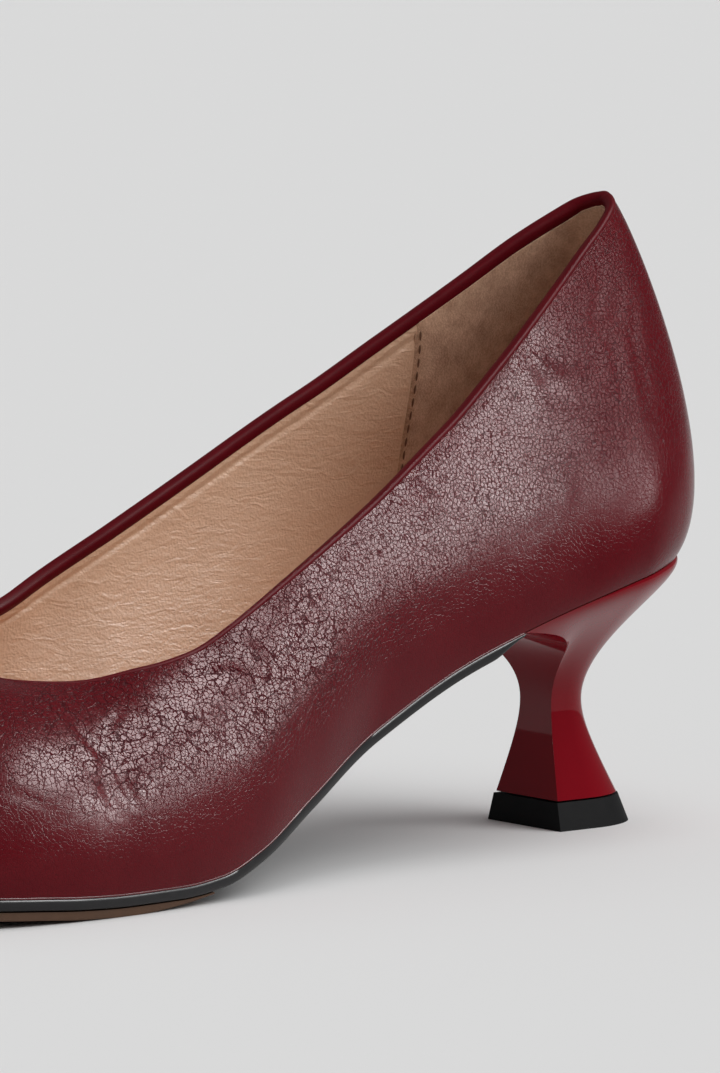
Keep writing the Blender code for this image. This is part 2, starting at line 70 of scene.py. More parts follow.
Heights = Callable[[np.ndarray], np.ndarray]
Socket = bpy.types.NodeSocket
Solid = tuple[np.ndarray, list]


class Slot(Enum):
    """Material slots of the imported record."""

    UPPER = "upper_leather"
    SOCK = "sock_leather"
    EDGE = "edge_paint"
    SOLE = "sole_leather"
    HEEL = "heel_lacquer"
    TOP_PIECE = "top_piece_rubber"


class SoleRow(NamedTuple):
    """One station of the feather line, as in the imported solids."""

    along: float    # from the back of the seat, share of the shoe's length
    outer: float    # outer edge across, share of the ball's width
    inner: float    # inner edge across, share of the ball's width
    lift: float     # rise towards the heel seat, share of the seat over the ball
    spring: float   # rise towards the toe, share of the toe spring


class RibRow(NamedTuple):
    """One rib of the upper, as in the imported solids."""

    along: float    # of the rib's top, share of the shoe's length
    outer: float    # top of the outer rib across, share of the ball's width
    inner: float    # top of the inner rib across, share of the ball's width
    height: float   # over the feather line, share of the height between back and instep
    dip: float      # outer topline below the inner one, share of the collar's dip
    stand: float    # how far the wall stands out above the sole, share of the ball's width
    rise: float     # height of the place where it does, share of the rib's height
    hang: float     # how far it stands out below its top, share of the ball's width
    drop: float     # how steeply it leaves its top, share of the rib's height


SOLE = tuple(SoleRow(*row) for row in (
    (0.0000, 0.000, 0.000, 1.000, 0.00),
    (0.0062, 0.122, -0.116, 0.996, 0.00),
    (0.0206, 0.211, -0.200, 0.985, 0.00),
    (0.0453, 0.282, -0.262, 0.963, 0.00),
    (0.0823, 0.329, -0.300, 0.927, 0.00),
    (0.1317, 0.344, -0.306, 0.865, 0.00),
    (0.1893, 0.342, -0.292, 0.773, 0.00),
    (0.2469, 0.338, -0.260, 0.661, 0.00),
    (0.3210, 0.348, -0.222, 0.469, 0.00),
    (0.3951, 0.410, -0.222, 0.254, 0.00),
    (0.4527, 0.464, -0.262, 0.090, 0.00),
    (0.4918, 0.487, -0.310, 0.018, 0.00),
    (0.5309, 0.504, -0.361, 0.000, 0.00),
    (0.5761, 0.517, -0.415, 0.000, 0.00),
    (0.6173, 0.522, -0.455, 0.000, 0.04),
    (0.6543, 0.514, -0.478, 0.000, 0.11),
    (0.6914, 0.491, -0.486, 0.000, 0.17),
    (0.7407, 0.447, -0.470, 0.000, 0.27),
    (0.7984, 0.371, -0.424, 0.000, 0.42),
    (0.8560, 0.272, -0.354, 0.000, 0.57),
    (0.9053, 0.175, -0.277, 0.000, 0.70),
    (0.9465, 0.087, -0.205, 0.000, 0.82),
    (0.9753, 0.018, -0.148, 0.000, 0.91),
    (0.9938, -0.032, -0.104, 0.000, 0.97),
    (1.0000, -0.068, -0.068, 0.000, 1.00),
))

RIBS = tuple(RibRow(*row) for row in (
    (0.0329, 0.001, 0.001, 1.000, 0.00, 0.121, 0.23, 0.050, 0.07),
    (0.0350, 0.024, -0.021, 1.000, 0.00, 0.123, 0.23, 0.051, 0.07),
    (0.0432, 0.065, -0.060, 0.995, 0.00, 0.126, 0.23, 0.053, 0.07),
    (0.0597, 0.098, -0.090, 0.980, 0.10, 0.122, 0.23, 0.052, 0.14),
    (0.0864, 0.131, -0.121, 0.957, 0.22, 0.113, 0.24, 0.050, 0.25),
    (0.1276, 0.174, -0.160, 0.913, 0.38, 0.094, 0.26, 0.040, 0.32),
    (0.1852, 0.229, -0.209, 0.861, 0.62, 0.065, 0.30, 0.030, 0.35),
    (0.2469, 0.279, -0.249, 0.824, 0.87, 0.056, 0.34, 0.028, 0.33),
    (0.3210, 0.327, -0.282, 0.844, 1.00, 0.052, 0.37, 0.034, 0.30),
    (0.3992, 0.362, -0.301, 0.892, 1.00, 0.052, 0.39, 0.050, 0.27),
    (0.4588, 0.376, -0.321, 0.935, 1.00, 0.053, 0.40, 0.072, 0.22),
    (0.4938, 0.372, -0.322, 0.944, 0.93, 0.055, 0.40, 0.092, 0.19),
    (0.5288, 0.351, -0.309, 0.938, 0.78, 0.056, 0.41, 0.115, 0.16),
    (0.5679, 0.302, -0.268, 0.911, 0.55, 0.058, 0.42, 0.150, 0.12),
    (0.6058, 0.237, -0.210, 0.931, 0.36, 0.060, 0.43, 0.195, 0.07),
    (0.6365, 0.136, -0.112, 0.976, 0.12, 0.060, 0.44, 0.240, 0.03),
    (0.6500, 0.012, 0.012, 1.000, 0.00, 0.060, 0.45, 0.270, 0.00),
    (0.7050, 0.000, 0.000, 0.898, 0.00, 0.058, 0.45, 0.260, 0.00),
    (0.7654, -0.017, -0.017, 0.738, 0.00, 0.054, 0.45, 0.225, 0.00),
    (0.8313, -0.036, -0.036, 0.564, 0.00, 0.048, 0.45, 0.175, 0.00),
    (0.8889, -0.050, -0.050, 0.410, 0.00, 0.040, 0.45, 0.125, 0.00),
    (0.9342, -0.061, -0.061, 0.286, 0.00, 0.030, 0.45, 0.080, 0.00),
    (0.9630, -0.066, -0.066, 0.200, 0.00, 0.020, 0.45, 0.042, 0.00),
    (0.9794, -0.069, -0.069, 0.142, 0.00, 0.015, 0.45, 0.020, 0.00),
    (0.9848, -0.070, -0.070, 0.125, 0.00, 0.013, 0.45, 0.014, 0.00),
))

# The row whose rib ends at the throat, where the topline's two sides meet
THROAT_ROW = 16


class Column:
    """One table column as a cubic that never overshoots its rows."""

    def __init__(self, params: Sequence[float], values: Sequence[float]) -> None:
        """Work out the slope at each row.

        Args:
            params: Distances of the rows, rising.
            values: Value of each row.
        """
        self.params = np.asarray(params, float)
        self.values = np.asarray(values, float)
        secants = np.diff(self.values) / np.diff(self.params)
        before, after = secants[:-1], secants[1:]
        total = np.where(before * after > 0, before + after, 1.0)
        inner = np.where(before * after > 0, 2 * before * after / total, 0.0)
        self.slopes = np.concatenate([secants[:1], inner, secants[-1:]])

    def at(self, param: np.ndarray) -> np.ndarray:
        """Values of the cubic.

        Args:
            param: Distances at which to read it.

        Returns:
            One value for each distance.
        """
        k = np.clip(np.searchsorted(self.params, param) - 1, 0, len(self.params) - 2)
        span = self.params[k + 1] - self.params[k]
        t = np.clip((param - self.params[k]) / span, 0.0, 1.0)
        first = self.values[k] * (1 + 2 * t) + self.slopes[k] * span * t
        last = self.values[k + 1] * (3 - 2 * t) - self.slopes[k + 1] * span * (1 - t)
        return first * (1 - t) ** 2 + last * t * t


def ease(value: np.ndarray) -> np.ndarray:
    """Smooth step from 0 to 1, for values from 0 to 1."""
    share = np.clip(value, 0.0, 1.0)
    return share * share * (3 - 2 * share)


def bezier(corners: Sequence[np.ndarray], t: np.ndarray) -> np.ndarray:
    """Points of cubic Bezier curves.

    Args:
        corners: The four control points, each an array of points.
        t: Shares of the way along, the same for all curves or a row for each.

    Returns:
        The points, with the shares as their second axis.
    """
    weights = ((1 - t) ** 3, 3 * t * (1 - t) ** 2, 3 * t * t * (1 - t), t ** 3)
    return sum(np.atleast_2d(w)[..., None] * c[:, None, :] for w, c in zip(weights, corners))


def run_of(points: np.ndarray) -> np.ndarray:
    """Length along each row of points, counted from the row's first point.

    Args:
        points: Points in rows, or one row of them.

    Returns:
        One length for each point.
    """
    steps = np.linalg.norm(np.diff(points, axis=-2), axis=-1)
    start = np.zeros(steps.shape[:-1] + (1,))
    return np.concatenate([start, np.cumsum(steps, axis=-1)], axis=-1)


def numbered(points: np.ndarray) -> np.ndarray:
    """Vertex numbers for rows of points that share none."""
    return np.arange(points.shape[0] * points.shape[1]).reshape(points.shape[:2])


@dataclass
class Last:
    """The shape that the shoe is made on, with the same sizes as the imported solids."""

    length: float = 0.243
    ball_width: float = 0.0755
    seat_height: float = 0.0476
    toe_spring: float = 0.0086
    back_height: float = 0.0593
    instep_height: float = 0.0344
    collar_dip: float = 0.0028
    sole_stack: float = 0.0039
    heel_setback: float = 0.0146
    throat_blend: float = 0.012

    def __post_init__(self) -> None:
        """Turn the two tables into columns over the distance along the feather line."""
        steps = []
        for a, b in zip(SOLE, SOLE[1:]):
            step_x = (b.along - a.along) * self.length
            outer = math.hypot(step_x, (b.outer - a.outer) * self.ball_width)
            inner = math.hypot(step_x, (b.inner - a.inner) * self.ball_width)
            steps.append((outer + inner) / 2)
        self.distances = np.concatenate([[0.0], np.cumsum(steps)])
        self.girth = float(self.distances[-1])
        self.throat = float(self.distances[THROAT_ROW])
        top, ridge = RIBS[: THROAT_ROW + 1], RIBS[THROAT_ROW:]
        stations = [row.along * self.length for row in SOLE]
        self.sole_along = self.closed(SOLE, "along")
        self.sole_outer = self.closed(SOLE, "outer", "inner")
        self.sole_inner = self.closed(SOLE, "inner", "outer")
        self.sole_lift = Column(stations, [row.lift for row in SOLE])
        self.sole_rise = Column(stations, [row.spring for row in SOLE])
        self.top_along = self.closed(top, "along")
        self.top_height = self.closed(top, "height")
        self.top_dip = self.closed(top, "dip")
        self.top_outer = self.closed(top, "outer", "inner")
        self.top_inner = self.closed(top, "inner", "outer")
        ahead = self.distances[THROAT_ROW:]
        self.ridge_along = Column(ahead, [row.along for row in ridge])
        self.ridge_across = Column(ahead, [row.outer for row in ridge])
        self.ridge_height = Column(ahead, [row.height for row in ridge])
        self.stand = self.closed(RIBS, "stand")
        self.rise = self.closed(RIBS, "rise")
        self.hang = self.closed(RIBS, "hang")
        self.drop = self.closed(RIBS, "drop")

    def closed(self, rows: Sequence[tuple], name: str, partner: str = "") -> Column:
        """Column of a line that closes on the shoe's other side at both ends.

        Args:
            rows: Table rows.
            name: Column on this side.
            partner: The same column on the other side, if it differs.

        Returns:
            The column, with a row of the other side beyond each end.
        """
        near = [getattr(row, name) for row in rows]
        far = [getattr(row, partner or name) for row in rows]
        params = list(self.distances[: len(rows)])
        beyond = 2 * params[-1] - params[-2]
        return Column([-params[1]] + params + [beyond], [far[1]] + near + [far[-2]])

    def sole_height(self, station: np.ndarray) -> np.ndarray:
        """Height of the feather line over the floor at stations from the seat's back."""
        lift = self.sole_lift.at(station) * (self.seat_height - self.sole_stack)
        return self.sole_stack + lift + self.sole_rise.at(station) * self.toe_spring

    def wrap(self, signed: np.ndarray) -> np.ndarray:
        """Signed distances brought back into one turn round the shoe."""
        return (signed + self.girth) % (2 * self.girth) - self.girth

    def feather(self, signed: np.ndarray) -> np.ndarray:
        """Plan of the feather line.

        Args:
            signed: Signed distances along it.

        Returns:
            Station and place across for each.
        """
        turned = self.wrap(signed)
        distance = np.abs(turned)
        outer = self.sole_outer.at(distance)
        across = np.where(turned >= 0, outer, self.sole_inner.at(distance))
        along = self.sole_along.at(distance) * self.length
        return np.stack([along, across * self.ball_width], axis=-1)

    def normal(self, signed: np.ndarray) -> np.ndarray:
        """Level directions that point out of the shoe, square to the feather line.

        Args:
            signed: Signed distances along it.

        Returns:
            One direction for each, across the plan.
        """
        step = self.girth / SLOPE_STEPS
        run = self.feather(signed + step) - self.feather(signed - step)
        run /= np.linalg.norm(run, axis=-1, keepdims=True)
        return np.stack([-run[..., 1], run[..., 0]], axis=-1)

    def ridge(self, distance: np.ndarray) -> np.ndarray:
        """Points of the vamp's ridge at distances at or past the throat.

        Args:
            distance: Distances along the feather line.

        Returns:
            One point for each.
        """
        base = self.sole_height(self.sole_along.at(distance) * self.length)
        return np.stack([
            self.ridge_along.at(distance) * self.length,
            self.ridge_across.at(distance) * self.ball_width,
            base + self.ridge_height.at(distance) * self.instep_height,
        ], axis=-1)

    def rib_tops(self, signed: np.ndarray) -> np.ndarray:
        """Points of the topline, or of the ridge past the throat.

        Args:
            signed: Signed distances along the feather line.

        Returns:
            One point for each.
        """
        distance = np.abs(signed)
        along = self.top_along.at(distance)
        start, end = RIBS[0].along, RIBS[THROAT_ROW].along
        share = (along - start) / (end - start)
        full = self.back_height + (self.instep_height - self.back_height) * share
        base = self.sole_height(self.sole_along.at(distance) * self.length)
        dip = np.where(signed >= 0, self.top_dip.at(distance), 0.0) * self.collar_dip
        across = np.where(signed >= 0, self.top_outer.at(distance), self.top_inner.at(distance))
        topline = np.stack([
            along * self.length,
            across * self.ball_width,
            base + self.top_height.at(distance) * full - dip,
        ], axis=-1)
        past = (distance >= self.throat)[:, None]
        return np.where(past, self.ridge(np.maximum(distance, self.throat)), topline)

    def ridge_slope(self, distance: np.ndarray) -> np.ndarray:
        """Fall of the ridge for each metre forward, faded in just behind the throat.

        Args:
            distance: Distances along the feather line.

        Returns:
            One slope for each.
        """
        step = self.girth / SLOPE_STEPS
        at = np.clip(distance, self.throat, self.girth)
        behind = self.ridge(np.maximum(at - step, self.throat))
        ahead = self.ridge(np.minimum(at + step, self.girth))
        slope = (ahead[:, 2] - behind[:, 2]) / (ahead[:, 0] - behind[:, 0])
        return slope * ease((distance - self.throat) / self.throat_blend + 1.0)

    def ribs(self, signed: np.ndarray, shares: np.ndarray) -> np.ndarray:
        """Grid of points on the upper's outer surface, moved to the frame's origin.

        Args:
            signed: Signed distances of the ribs.
            shares: Shares of the way up each rib.

        Returns:
            Points by rib and share.
        """
        distance = np.abs(signed)
        plan = self.feather(signed)
        foot = np.column_stack([plan, self.sole_height(plan[:, 0])])
        top = self.rib_tops(signed)
        normal = self.normal(signed)
        height = top[:, 2] - foot[:, 2]
        stand = self.stand.at(distance) * self.ball_width
        hang = self.hang.at(distance) * self.ball_width
        rise = self.rise.at(distance) * height
        fall = self.drop.at(distance) * height - self.ridge_slope(distance) * normal[:, 0] * hang
        low = foot + np.column_stack([normal * stand[:, None], rise])
        high = top + np.column_stack([normal * hang[:, None], -fall])
        points = bezier((foot, low, high, top), shares)
        points[..., 0] -= self.heel_setback
        return points

    def inset(self, signed: np.ndarray, inset: float) -> np.ndarray:
        """Plan of the feather line moved into the shoe, as stations and places across."""
        return self.feather(signed) - self.normal(signed) * inset

    def distance_at(self, station: float) -> float:
        """Distance along the feather line at which it reaches a station.

        Args:
            station: Distance from the seat's back, along the shoe.

        Returns:
            Distance along the line.
        """
        low, high = 0.0, self.girth
        for _ in range(HALVINGS):
            middle = (low + high) / 2
            if float(self.sole_along.at(np.array(middle))) * self.length < station:
                low = middle
            else:
                high = middle
        return (low + high) / 2


@dataclass
class Grid:
    """Points in rows, with a vertex number for each, so that rows may share vertices."""

    points: np.ndarray
    numbers: np.ndarray

    def quads(self) -> np.ndarray:
        """Faces of the grid, turned so that a grid of ribs faces out of the shoe.

        Returns:
            Four vertex numbers for each face.
        """
        n = self.numbers
        corners = (n[:-1, :-1], n[:-1, 1:], n[1:, 1:], n[1:, :-1])
        return np.stack([c.ravel() for c in corners], axis=1)

    def normals(self) -> np.ndarray:
        """Unit normal of each grid point, averaged over the faces that meet there.

        Returns:
            Normals by row and column.
        """
        count = int(self.numbers.max()) + 1
        flat = np.zeros((count, 3))
        flat[self.numbers.ravel()] = self.points.reshape(-1, 3)
        quads = self.quads()
        a, b, c, d = (flat[quads[:, k]] for k in range(4))
        face = np.cross(c - a, d - b)
        total = np.zeros((count, 3))
        for k in range(4):
            np.add.at(total, quads[:, k], face)
        total /= np.maximum(np.linalg.norm(total, axis=1, keepdims=True), 1e-12)
        return total[self.numbers]


def rib_grid(last: Last, signed: np.ndarray, shares: np.ndarray) -> Grid:
    """Grid of ribs, welded along the vamp's ridge and at the toe where it reaches them.

    Args:
        last: The last.
        signed: Signed distances of the ribs, rising.
        shares: Shares of the way up, rising.

    Returns:
        The grid.
    """
    points = last.ribs(signed, shares)
    numbers = numbered(points)
    if abs(signed[0] + last.girth) < WELD:
        numbers[0] = numbers[-1]
        points[0] = points[-1]
    past = np.where(signed <= -last.throat + WELD)[0]
    mirror = len(signed) - 1 - past
    numbers[past, -1] = numbers[mirror, -1]
    points[past, -1] = points[mirror, -1]
    _, inverse = np.unique(numbers.ravel(), return_inverse=True)
    numbers = inverse.reshape(numbers.shape)
    return Grid(points, numbers)


def rim_walls(quads: np.ndarray, shift: int) -> list[list[int]]:
    """Faces between a sheet's open edges and those of its copy.

    Args:
        quads: Faces of the first sheet.
        shift: What is added to a vertex number to reach the copy.

    Returns:
        The faces that close the two sheets into one solid.
    """
    # Edges in the order of the faces, each from its first corner to its second
    heads: dict[tuple[int, int], None] = {}
    for quad in quads:
        corners = list(dict.fromkeys(int(n) for n in quad))
        heads.update(dict.fromkeys(zip(corners, corners[1:] + corners[:1])))
    return [[b, a, a + shift, b + shift] for a, b in heads if (b, a) not in heads]


def solid_sheet(grid: Grid, outer: np.ndarray, inner: np.ndarray) -> Solid:
    """Closed solid between two faces laid off from a grid along its normals.

    Args:
        grid: The grid.
        outer: Offset of the outer face at each grid point.
        inner: Offset of the inner face at each grid point.

    Returns:
        Points and faces.
    """
    normals = grid.normals()
    count = int(grid.numbers.max()) + 1
    points = np.zeros((2 * count, 3))
    flat = grid.numbers.ravel()
    points[flat] = (grid.points + normals * outer[..., None]).reshape(-1, 3)
    points[flat + count] = (grid.points + normals * inner[..., None]).reshape(-1, 3)
    quads = grid.quads()
    faces = [[int(n) for n in quad] for quad in quads]
    faces += [[int(n) + count for n in quad[::-1]] for quad in quads]
    return points, faces + rim_walls(quads, count)


def proper(faces: Sequence[Sequence[int]]) -> list[list[int]]:
    """Faces without repeated corners, as far as three corners are left."""
    clean = [list(dict.fromkeys(int(n) for n in face)) for face in faces]
    return [face for face in clean if len(face) > 2]


def make_piece(
    name: str,
    points: np.ndarray,
    faces: Sequence[Sequence[int]],
    finish: bpy.types.Material,
    sharp: float = 50.0,
) -> bpy.types.Object:
    """Mesh piece, shaded smooth, that rides on the shoe.

    Args:
        name: Name of the piece.
        points: Its points in the frame.
        faces: Its faces.
        finish: Its material.
        sharp: Angle in degrees over which an edge stays sharp.

    Returns:
        The piece.
    """
    mesh = bpy.data.meshes.new(name)
    mesh.from_pydata(np.asarray(points).tolist(), [], proper(faces))
    mesh.materials.append(finish)
    mesh.shade_smooth()
    mesh.set_sharp_from_angle(angle=math.radians(sharp))
    piece = bpy.data.objects.new(name, mesh)
    bpy.context.scene.collection.objects.link(piece)
    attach(piece, BODY)
    LOG.info("%s: %d faces", name, len(mesh.polygons))
    return piece


def mark(piece: bpy.types.Object, name: str, values: np.ndarray) -> None:
    """Store one number for each vertex, for the finish to read.

    Args:
        piece: The piece.
        name: Name of the attribute.
        values: One number for each vertex.
    """
    layer = piece.data.attributes.new(name, "FLOAT", "POINT")
    layer.data.foreach_set("value", np.asarray(values, np.float32))


def swept(
    centres: np.ndarray,
    first: np.ndarray,
    second: np.ndarray,
    profile: Sequence[tuple[float, float]],
    closed: bool,
) -> Solid:
    """Solid that a closed profile leaves along a line.

    Args:
        centres: Points of the line.
        first: Direction of the profile's first axis at each point.
        second: Direction of its second axis at each point.
        profile: Points of the profile.
        closed: Whether the line closes on itself.

    Returns:
        Points and faces.
    """
    shape = np.asarray(profile)
    rings = (
        centres[:, None]
        + first[:, None] * shape[None, :, :1]
        + second[:, None] * shape[None, :, 1:]
    )
    count, size = rings.shape[:2]
    faces = []
    for r in range(count if closed else count - 1):
        low, high = r * size, (r + 1) % count * size
        faces += [
            [low + k, low + (k + 1) % size, high + (k + 1) % size, high + k]
            for k in range(size)
        ]
    if not closed:
        faces.append(list(range(size))[::-1])
        faces.append([(count - 1) * size + k for k in range(size)])
    return rings.reshape(-1, 3), faces


def oval(sides: int, first: float = 1.0, second: float = 1.0) -> list[tuple[float, float]]:
    """Corners of an oval with half widths along its two axes."""
    return [(first * math.cos(a), second * math.sin(a))
            for a in np.linspace(0, math.tau, sides + 1)[:-1]]


@dataclass
class Slab:
    """A flat layer under the foot, between heights that follow the sole."""

    last: Last
    start: float
    end: float
    layers: Sequence[tuple[float, Heights]]
    rows: int
    columns: int = 16
    crown: float = 0.0
    weld: float = 1e-5    # a row narrower than this is one point

    def build(self) -> Solid:
        """Points and faces: a cap for the first and the last layer, and the edge between.

        Returns:
            Points and faces.
        """
        distances = np.linspace(self.start, self.end, self.rows)
        share = np.linspace(0.0, 1.0, self.columns + 1)
        points, faces, rims = [], [], []
        base = 0
        for k, (inset, height) in enumerate(self.layers):
            outer = self.last.inset(distances, inset)
            inner = self.last.inset(-distances, inset)
            plan = outer[:, None] + (inner - outer)[:, None] * share[None, :, None]
            level = height(plan[..., 0])
            if k == 0:
                level = level + self.crown * (4 * share * (1 - share))[None]
            grid = np.concatenate([plan, level[..., None]], axis=2)
            grid[..., 0] -= self.last.heel_setback
            numbers = numbered(grid)
            for end in (0, -1):
                if np.linalg.norm(grid[end, 0] - grid[end, -1]) < self.weld:
                    numbers[end] = numbers[end, 0]
            numbers = numbers + base
            base += grid.shape[0] * grid.shape[1]
            points.append(grid.reshape(-1, 3))
            quads = Grid(grid, numbers).quads()
            if k == 0:
                faces += [list(q) for q in quads[:, ::-1]]
            elif k == len(self.layers) - 1:
                faces += [list(q) for q in quads]
            rim = list(numbers[:, 0]) + list(numbers[-1, 1:])
            rim += list(numbers[-2::-1, -1]) + list(numbers[0, -2:0:-1])
            rims.append(rim)
        for high, low in zip(rims, rims[1:]):
            size = len(high)
            faces += [
                [high[k], low[k], low[(k + 1) % size], high[(k + 1) % size]]
                for k in range(size)
            ]
        return compact(np.concatenate(points), faces)


def compact(points: np.ndarray, faces: Sequence[Sequence[int]]) -> Solid:
    """Leave out the points that no face uses, and repeated corners.

    Args:
        points: Points.
        faces: Faces by point number.

    Returns:
        The points that are left and the faces by their new numbers.
    """
    clean = proper(faces)
    used = sorted({n for face in clean for n in face})
    new = {old: k for k, old in enumerate(used)}
    return points[used], [[new[n] for n in face] for face in clean]


def linear(code: str) -> tuple[float, float, float, float]:
    """Linear colour of an sRGB hex value.

    Args:
        code: Six hex digits.

    Returns:
        Red, green, blue and alpha for a shader socket.
    """
    shares = [int(code[k: k + 2], 16) / 255 for k in (0, 2, 4)]
    plain = [s / 12.92 if s <= 0.04045 else ((s + 0.055) / 1.055) ** 2.4 for s in shares]
    return plain[0], plain[1], plain[2], 1.0


def add_node(
    tree: bpy.types.NodeTree, kind: str, inputs: dict | None = None, **traits: object
) -> bpy.types.Node:
    """Add a node, set what it is, and fill or link its sockets.

    Args:
        tree: Node tree.
        kind: Type of the node.
        inputs: Value or source socket for each socket, by name or number.
        traits: Settings of the node itself.

    Returns:
        The node.
    """
    node = tree.nodes.new(kind)
    for name, value in traits.items():
        setattr(node, name, value)
    for key, value in (inputs or {}).items():
        if isinstance(value, bpy.types.NodeSocket):
            tree.links.new(value, node.inputs[key])
        else:
            node.inputs[key].default_value = value
    return node


def per_metre(size_mm: float) -> float:
    """Texture scale at which one cell of a pattern has this size."""
    return 1.0 / (size_mm * MM)


class Recipe:
    """A new material, with short ways to add the nodes that the finishes share."""

    def __init__(self, name: str, sockets: dict[str, float | tuple]) -> None:
        """Start the material with its shader's plain values set.

        Args:
            name: Name of the material.
            sockets: Values of the shader's sockets.
        """
        self.material = bpy.data.materials.new(name)
        self.material.use_nodes = True
        self.tree = self.material.node_tree
        self.shader = self.tree.nodes["Principled BSDF"]
        for key, value in sockets.items():
            self.shader.inputs[key].default_value = value
        self.place = add_node(self.tree, "ShaderNodeTexCoord").outputs["Object"]

    def noise(
        self, size_mm: float, detail: float, roughness: float = 0.5, output: str = "Fac"
    ) -> Socket:
        """Clouds.

        Args:
            size_mm: Size of the largest.
            detail: Number of finer layers on them.
            roughness: Strength of the finer layers.
            output: Which result is read.

        Returns:
            The result.
        """
        return add_node(self.tree, "ShaderNodeTexNoise", {
            "Vector": self.place, "Scale": per_metre(size_mm), "Detail": detail,
            "Roughness": roughness,
        }).outputs[output]

    def cells(self, place: Socket, size_mm: float, edge: float) -> Socket:
        """Flat cells between narrow grooves.

        Args:
            place: Coordinates.
            size_mm: Size of a cell.
            edge: Half the width of a groove, share of the cell.

        Returns:
            Height, 0 in a groove and 1 on a cell.
        """
        pattern = add_node(self.tree, "ShaderNodeTexVoronoi", {
            "Vector": place, "Scale": per_metre(size_mm),
        }, feature="DISTANCE_TO_EDGE")
        return add_node(self.tree, "ShaderNodeMapRange", {
            "Value": pattern.outputs["Distance"], "From Max": edge,
        }, interpolation_type="SMOOTHSTEP").outputs[0]

    def moved(self, push: Socket, reach_mm: float) -> Socket:
        """Object coordinates, each pushed by a colour as far as its full strength reaches."""
        return add_node(self.tree, "ShaderNodeVectorMath", {
            0: push, 1: (reach_mm * MM,) * 3, 2: self.place,
        }, operation="MULTIPLY_ADD").outputs[0]

    def mark(self, name: str) -> Socket:
        """Number that a piece stores for each vertex."""
        return add_node(self.tree, "ShaderNodeAttribute", attribute_name=name).outputs["Fac"]

    def sum(self, kind: str, *values: Socket | float, clamp: bool = False) -> Socket:
        """Result of a sum.

        Args:
            kind: What is done to the values.
            values: Sockets and plain numbers.
            clamp: Whether the result stays between 0 and 1.

        Returns:
            The result.
        """
        return add_node(self.tree, "ShaderNodeMath", dict(enumerate(values)),
                        operation=kind, use_clamp=clamp).outputs[0]

    def blend(self, share: Socket, first: Socket | str, second: str) -> Socket:
        """Colour at a share of the way from one, a socket or a hex value, to another."""
        start = linear(first) if isinstance(first, str) else first
        return add_node(self.tree, "ShaderNodeMix", {
            0: share, 6: start, 7: linear(second),
        }, data_type="RGBA").outputs[2]

    def ranged(self, value: Socket, low: float, high: float) -> Socket:
        """Value between two numbers, for one between 0 and 1."""
        return add_node(self.tree, "ShaderNodeMapRange", {
            "Value": value, "To Min": low, "To Max": high,
        }).outputs[0]

    def bump(self, height: Socket, relief_mm: float, strength: float) -> Socket:
        """Normal that follows a height, with the depth of the relief for a height of 1."""
        return add_node(self.tree, "ShaderNodeBump", {
            "Height": height, "Distance": relief_mm * MM, "Strength": strength,
        }).outputs[0]

    def done(self, **links: Socket) -> bpy.types.Material:
        """Feed the shader's sockets and hand over the material.

        Args:
            links: Source of each socket, by its name in small letters with _ for a space.

        Returns:
            The material.
        """
        for name, source in links.items():
            self.tree.links.new(source, self.shader.inputs[name.replace("_", " ").title()])
        return self.material


